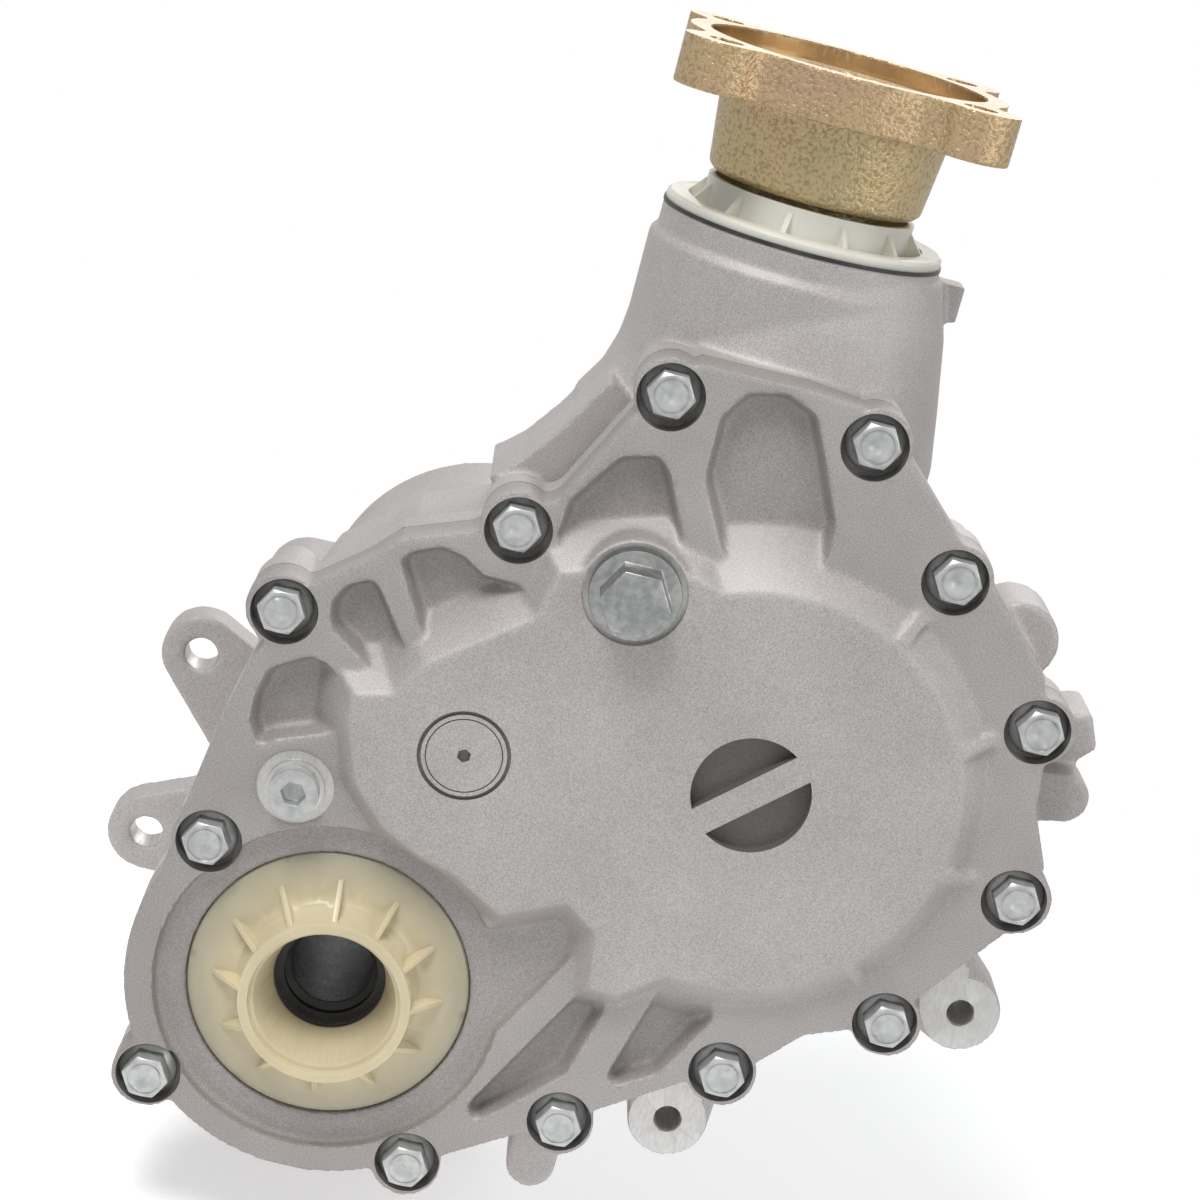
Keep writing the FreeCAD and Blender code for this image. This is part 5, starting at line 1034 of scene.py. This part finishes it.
@dataclass
class Hardware:
    """Bolts, plugs and washers with broken edges."""

    frame: dict
    finishes: Finishes
    edge: float = 0.3
    plug_edge: float = 0.45
    washer_edge: float = 0.15
    head_ring: Triple = (5.4, 4.7, 0.35)
    head_clearance: float = 2.0
    sides: int = 48

    def build(self) -> None:
        """Replaces each fastener node with its softened copy."""
        rows = (
            ("cover_bolts", "cover_bolt_set", "zinc_steel", self.edge),
            ("fill_plug", "filler_plug", "zinc_steel", self.plug_edge),
            ("level_plug", "level_plug_socket", "zinc_steel", self.edge),
            ("fill_plug_washer", "filler_washer", "bright_washer", self.washer_edge),
            ("level_plug_washer", "level_washer", "bright_washer", self.washer_edge),
        )
        for node, name, slot, width in rows:
            piece = Bench.copy_of(self.frame, name, node)
            Bench.soften(piece, width)
            if node == "cover_bolts":
                self.mark(piece)
            # The filler plug's darker zinc is a painted reflection
            finish = self.finishes.plug_zinc if node == "fill_plug" else self.finishes.by_slot[slot]
            self.finishes.dress(piece, finish)
            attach(piece, "housing")
            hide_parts(node)
            LOG.info("%s: %d faces", name, len(piece.data.polygons))

    def mark(self, piece: Piece) -> None:
        """Cuts the turned ring into each bolt's head.

        Args:
            piece: the softened bolts.
        """
        outer, inner, depth = self.head_ring
        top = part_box("cover_bolts")[0].y / MM
        start, end = top - self.head_clearance, top + self.head_clearance
        for bolt in Bench.solids_of(self.frame, "cover_bolts"):
            centre = (bolt.x, bolt.z)
            ring = Bench.disc(centre, outer, start, top + depth, Lay.ALONG_Y, self.sides)
            core = Bench.disc(centre, inner, start - MARGIN, end, Lay.ALONG_Y, self.sides)
            Bench.combine(ring, core, "DIFFERENCE")
            Bench.combine(piece, ring, "DIFFERENCE")
        Bench.smooth(piece)


@dataclass
class Flange:
    """The output flange: a rounded forging with a turned face, recess and bolt holes."""

    frame: dict
    finishes: Finishes
    voxel: float = 0.75
    blend_rounds: int = 3
    hole_radius: float = 5.2
    pilot_radius: float = 44.0
    pilot_depth: float = 6.0
    triangles: int = 150000
    face_cut: float = 0.6
    facing: tuple[Pair, Pair] = ((-100.0, -300.0), (300.0, 100.0))
    facing_rise: float = 20.0
    first_hole: float = 42.0
    hole_reach: float = 30.0
    tool_rise: float = 5.0

    def build(self) -> None:
        """Builds the flange in place of its node."""
        centre = Bench.middle_of("pinion_nut")
        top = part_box("output_flange")[1].z / MM
        piece = Bench.copy_of(self.frame, "flange_forging", "output_flange")
        pattern = next(m for m in self.frame["record"]["mounts"] if m["kind"] == "bolt_pattern")
        Bench.round_off(piece, self.voxel, self.blend_rounds)
        Bench.modify(piece, "DECIMATE", ratio=min(1.0, self.triangles / (2 * len(piece.data.polygons))))
        self.finishes.dress(piece, self.finishes.gold_cast, self.finishes.gold_turned)
        up = Lay.ALONG_Z
        axis = (centre.x, centre.y)
        low, high = self.facing
        above = top + self.tool_rise
        cuts = [Bench.block(Vector((*low, top - self.face_cut)), Vector((*high, top + self.facing_rise)))]
        cuts.append(Bench.disc(axis, self.pilot_radius, top - self.pilot_depth, above, up, 160))
        reach = pattern["dims"]["pcd_mm"] / 2
        for k in range(4):
            angle = math.radians(self.first_hole + 90 * k)
            spot = (centre.x + reach * math.cos(angle), centre.y + reach * math.sin(angle))
            cuts.append(Bench.disc(spot, self.hole_radius, top - self.hole_reach, above, up, 48))
        for cut in cuts:
            self.finishes.dress(cut, self.finishes.gold_turned)
            Bench.combine(piece, cut, "DIFFERENCE")
        Bench.smooth(piece)
        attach(piece, "output")
        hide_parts("output_flange")
        LOG.info("flange: %d faces", len(piece.data.polygons))


@dataclass
class Guards:
    """The nylon plug in the input bore and the nylon shield on the neck."""

    frame: dict
    finishes: Finishes
    edge: float = 0.35
    sharp: float = 40.0
    shield_height: float = 10.5
    seal: Triple = (44.7, 41.0, 1.1)
    seal_lap: float = 0.1
    sides: int = 128

    def build(self) -> None:
        """Replaces both nylon nodes with softened copies and adds the seal under the shield."""
        for node, name, body, finish in (
            ("input_plug", "input_bore_plug", "shipping_plug", self.finishes.nylon),
            ("dust_shield", "neck_shield", "housing", self.finishes.pale_nylon),
        ):
            piece = Bench.copy_of(self.frame, name, node)
            Bench.soften(piece, self.edge, degrees=self.sharp)
            self.finishes.dress(piece, finish)
            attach(piece, body)
            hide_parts(node)
            LOG.info("%s: %d faces", name, len(piece.data.polygons))
        self.neck_seal()

    def neck_seal(self) -> None:
        """The dark seal that shows between the neck and the shield's brim."""
        outer, inner, depth = self.seal
        centre = Bench.middle_of("pinion_nut")
        axis = (centre.x, centre.y)
        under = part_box("dust_shield")[1].z / MM - self.shield_height
        up = Lay.ALONG_Z
        ring = Bench.disc(axis, outer, under - depth, under + self.seal_lap, up, self.sides)
        core = Bench.disc(axis, inner, under - depth - MARGIN, under + MARGIN, up, self.sides)
        Bench.combine(ring, core, "DIFFERENCE")
        ring.name = "neck_seal"
        Bench.smooth(ring)
        self.finishes.dress(ring, self.finishes.rubber)
        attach(ring, "housing")


@dataclass(frozen=True)
class Studio:
    """Camera, soft lamps, pale floor and white surround."""

    eye: Triple = (-9.2, -944.15, 380.15)
    right: Triple = (0.9686, 0.0, 0.2487)
    up: Triple = (-0.2381, 0.289, 0.9272)
    focal_to_half_width: float = 2800 / 600
    floor_size: float = 4.0
    floor_fade: Pair = (0.24, 0.6)
    floor_glow: float = 0.3
    gloss_level: float = 0.75
    ambient_level: float = 0.42
    ambient: tuple[float, float, float, float] = (0.95, 0.97, 1.0, 1.0)
    aim: Triple = (0.08, -0.07, 0.1)
    sight: float = 50.0
    # Name, place, side of the square in metres and power in watts
    lamps: tuple[tuple[str, Triple, float, float], ...] = (
        ("key", (-0.55, -0.95, 1.75), 0.7, 26.0),
        ("fill", (1.6, -1.1, 0.5), 1.2, 7.0),
        ("rear", (0.6, 1.6, 1.3), 1.4, 14.0),
    )

    def camera(self) -> None:
        """Places the camera at the photograph's angle."""
        data = bpy.data.cameras.new("photo_camera")
        obj = bpy.data.objects.new("photo_camera", data)
        bpy.context.scene.collection.objects.link(obj)
        right = Vector(self.right).normalized()
        up = Vector(self.up).normalized()
        back = right.cross(up)
        turn = Matrix((right, up, back)).transposed().to_4x4()
        obj.matrix_world = Matrix.Translation(Vector(self.eye) * MM) @ turn
        data.angle = 2 * math.atan(1 / self.focal_to_half_width)
        data.clip_end = self.sight
        bpy.context.scene.camera = obj

    def lamp(self, name: str, place: Triple, size: float, power: float) -> None:
        """Adds a soft area lamp that faces the object.

        Args:
            name: the lamp's name.
            place: where it stands, in metres.
            size: the side of its square, in metres.
            power: in watts.
        """
        data = bpy.data.lights.new(name, "AREA")
        data.size = size
        data.energy = power
        obj = bpy.data.objects.new(name, data)
        bpy.context.scene.collection.objects.link(obj)
        obj.location = place
        aim = Vector(self.aim) - Vector(place)
        obj.rotation_euler = aim.to_track_quat("-Z", "Y").to_euler()

    def surround(self) -> None:
        """White for the camera and for gloss, softer for the light on the object."""
        world = bpy.data.worlds.new("surround")
        bpy.context.scene.world = world
        world.use_nodes = True
        tree = world.node_tree
        tree.nodes.clear()
        path = tree.nodes.new("ShaderNodeLightPath")
        white = (1.0, 1.0, 1.0, 1.0)
        skies = []
        for tint, level in ((white, 1.0), (self.ambient, self.ambient_level), (white, self.gloss_level)):
            sky = tree.nodes.new("ShaderNodeBackground")
            sky.inputs["Color"].default_value = tint
            sky.inputs["Strength"].default_value = level
            skies.append(sky)
        seen, below, gloss = skies
        output = tree.nodes.new("ShaderNodeOutputWorld")
        for ray, sky in (("Is Glossy Ray", gloss), ("Is Camera Ray", seen)):
            mix = tree.nodes.new("ShaderNodeMixShader")
            tree.links.new(path.outputs[ray], mix.inputs["Fac"])
            tree.links.new(below.outputs[0], mix.inputs[1])
            tree.links.new(sky.outputs["Background"], mix.inputs[2])
            below = mix
        tree.links.new(below.outputs[0], output.inputs["Surface"])

    def floor(self, height: float) -> None:
        """Lays a plain pale floor that keeps the object's shadow.

        Args:
            height: its level in metres.
        """
        bpy.ops.object.select_all(action="DESELECT")
        bpy.ops.mesh.primitive_plane_add(size=self.floor_size, location=(0, 0, height))
        obj = bpy.context.view_layer.objects.active
        obj.name = "floor"
        sheet = NodeSheet("pale_floor")
        sheet.set(Base_Color=(0.93, 0.93, 0.93, 1.0), Roughness=0.9)
        sheet.set(Emission_Color=(1.0, 1.0, 1.0, 1.0), Emission_Strength=self.floor_glow)
        length = sheet.tree.nodes.new("ShaderNodeVectorMath")
        length.operation = "LENGTH"
        sheet.link(sheet.place, length.inputs[0])
        clear = sheet.tree.nodes.new("ShaderNodeBsdfTransparent")
        fade = sheet.tree.nodes.new("ShaderNodeMixShader")
        near, far = self.floor_fade
        sheet.link(sheet.ramp(length.outputs["Value"], near, far), fade.inputs["Fac"])
        sheet.link(sheet.shader.outputs["BSDF"], fade.inputs[1])
        sheet.link(clear.outputs["BSDF"], fade.inputs[2])
        sheet.link(fade.outputs["Shader"], sheet.output.inputs["Surface"])
        obj.data.materials.append(sheet.material)
        obj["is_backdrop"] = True

    def build(self, base: float) -> None:
        """Sets up the whole stage.

        Args:
            base: the object's lowest point, in metres.
        """
        bpy.context.scene.view_settings.view_transform = "Standard"
        self.camera()
        self.surround()
        for name, place, size, power in self.lamps:
            self.lamp(name, place, size, power)
        self.floor(base)


def main() -> None:
    """Builds the dressed part in the frame."""
    logging.basicConfig(level=logging.INFO, format="%(message)s")
    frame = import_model()
    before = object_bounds()
    centre = Bench.middle_of("pinion_nut")
    flange_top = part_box("output_flange")[1].z / MM
    finishes = Finishes((centre.x, centre.y), tuple(flange_top - drop for drop in TONE_DROPS))
    finishes.dress_nodes(frame)
    for assembly in (Castings, Hardware, Flange, Guards):
        assembly(frame, finishes).build()
        LOG.info("%s done", assembly.__name__)
    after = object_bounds()
    boxes = {name: [[float(v) for v in corner] for corner in box] for name, box in
             (("cad", before), ("visual", after))}
    Studio().build(min(corner[2] for corner in boxes["cad"]) - FLOOR_GAP)


if __name__ == "__main__":
    main()
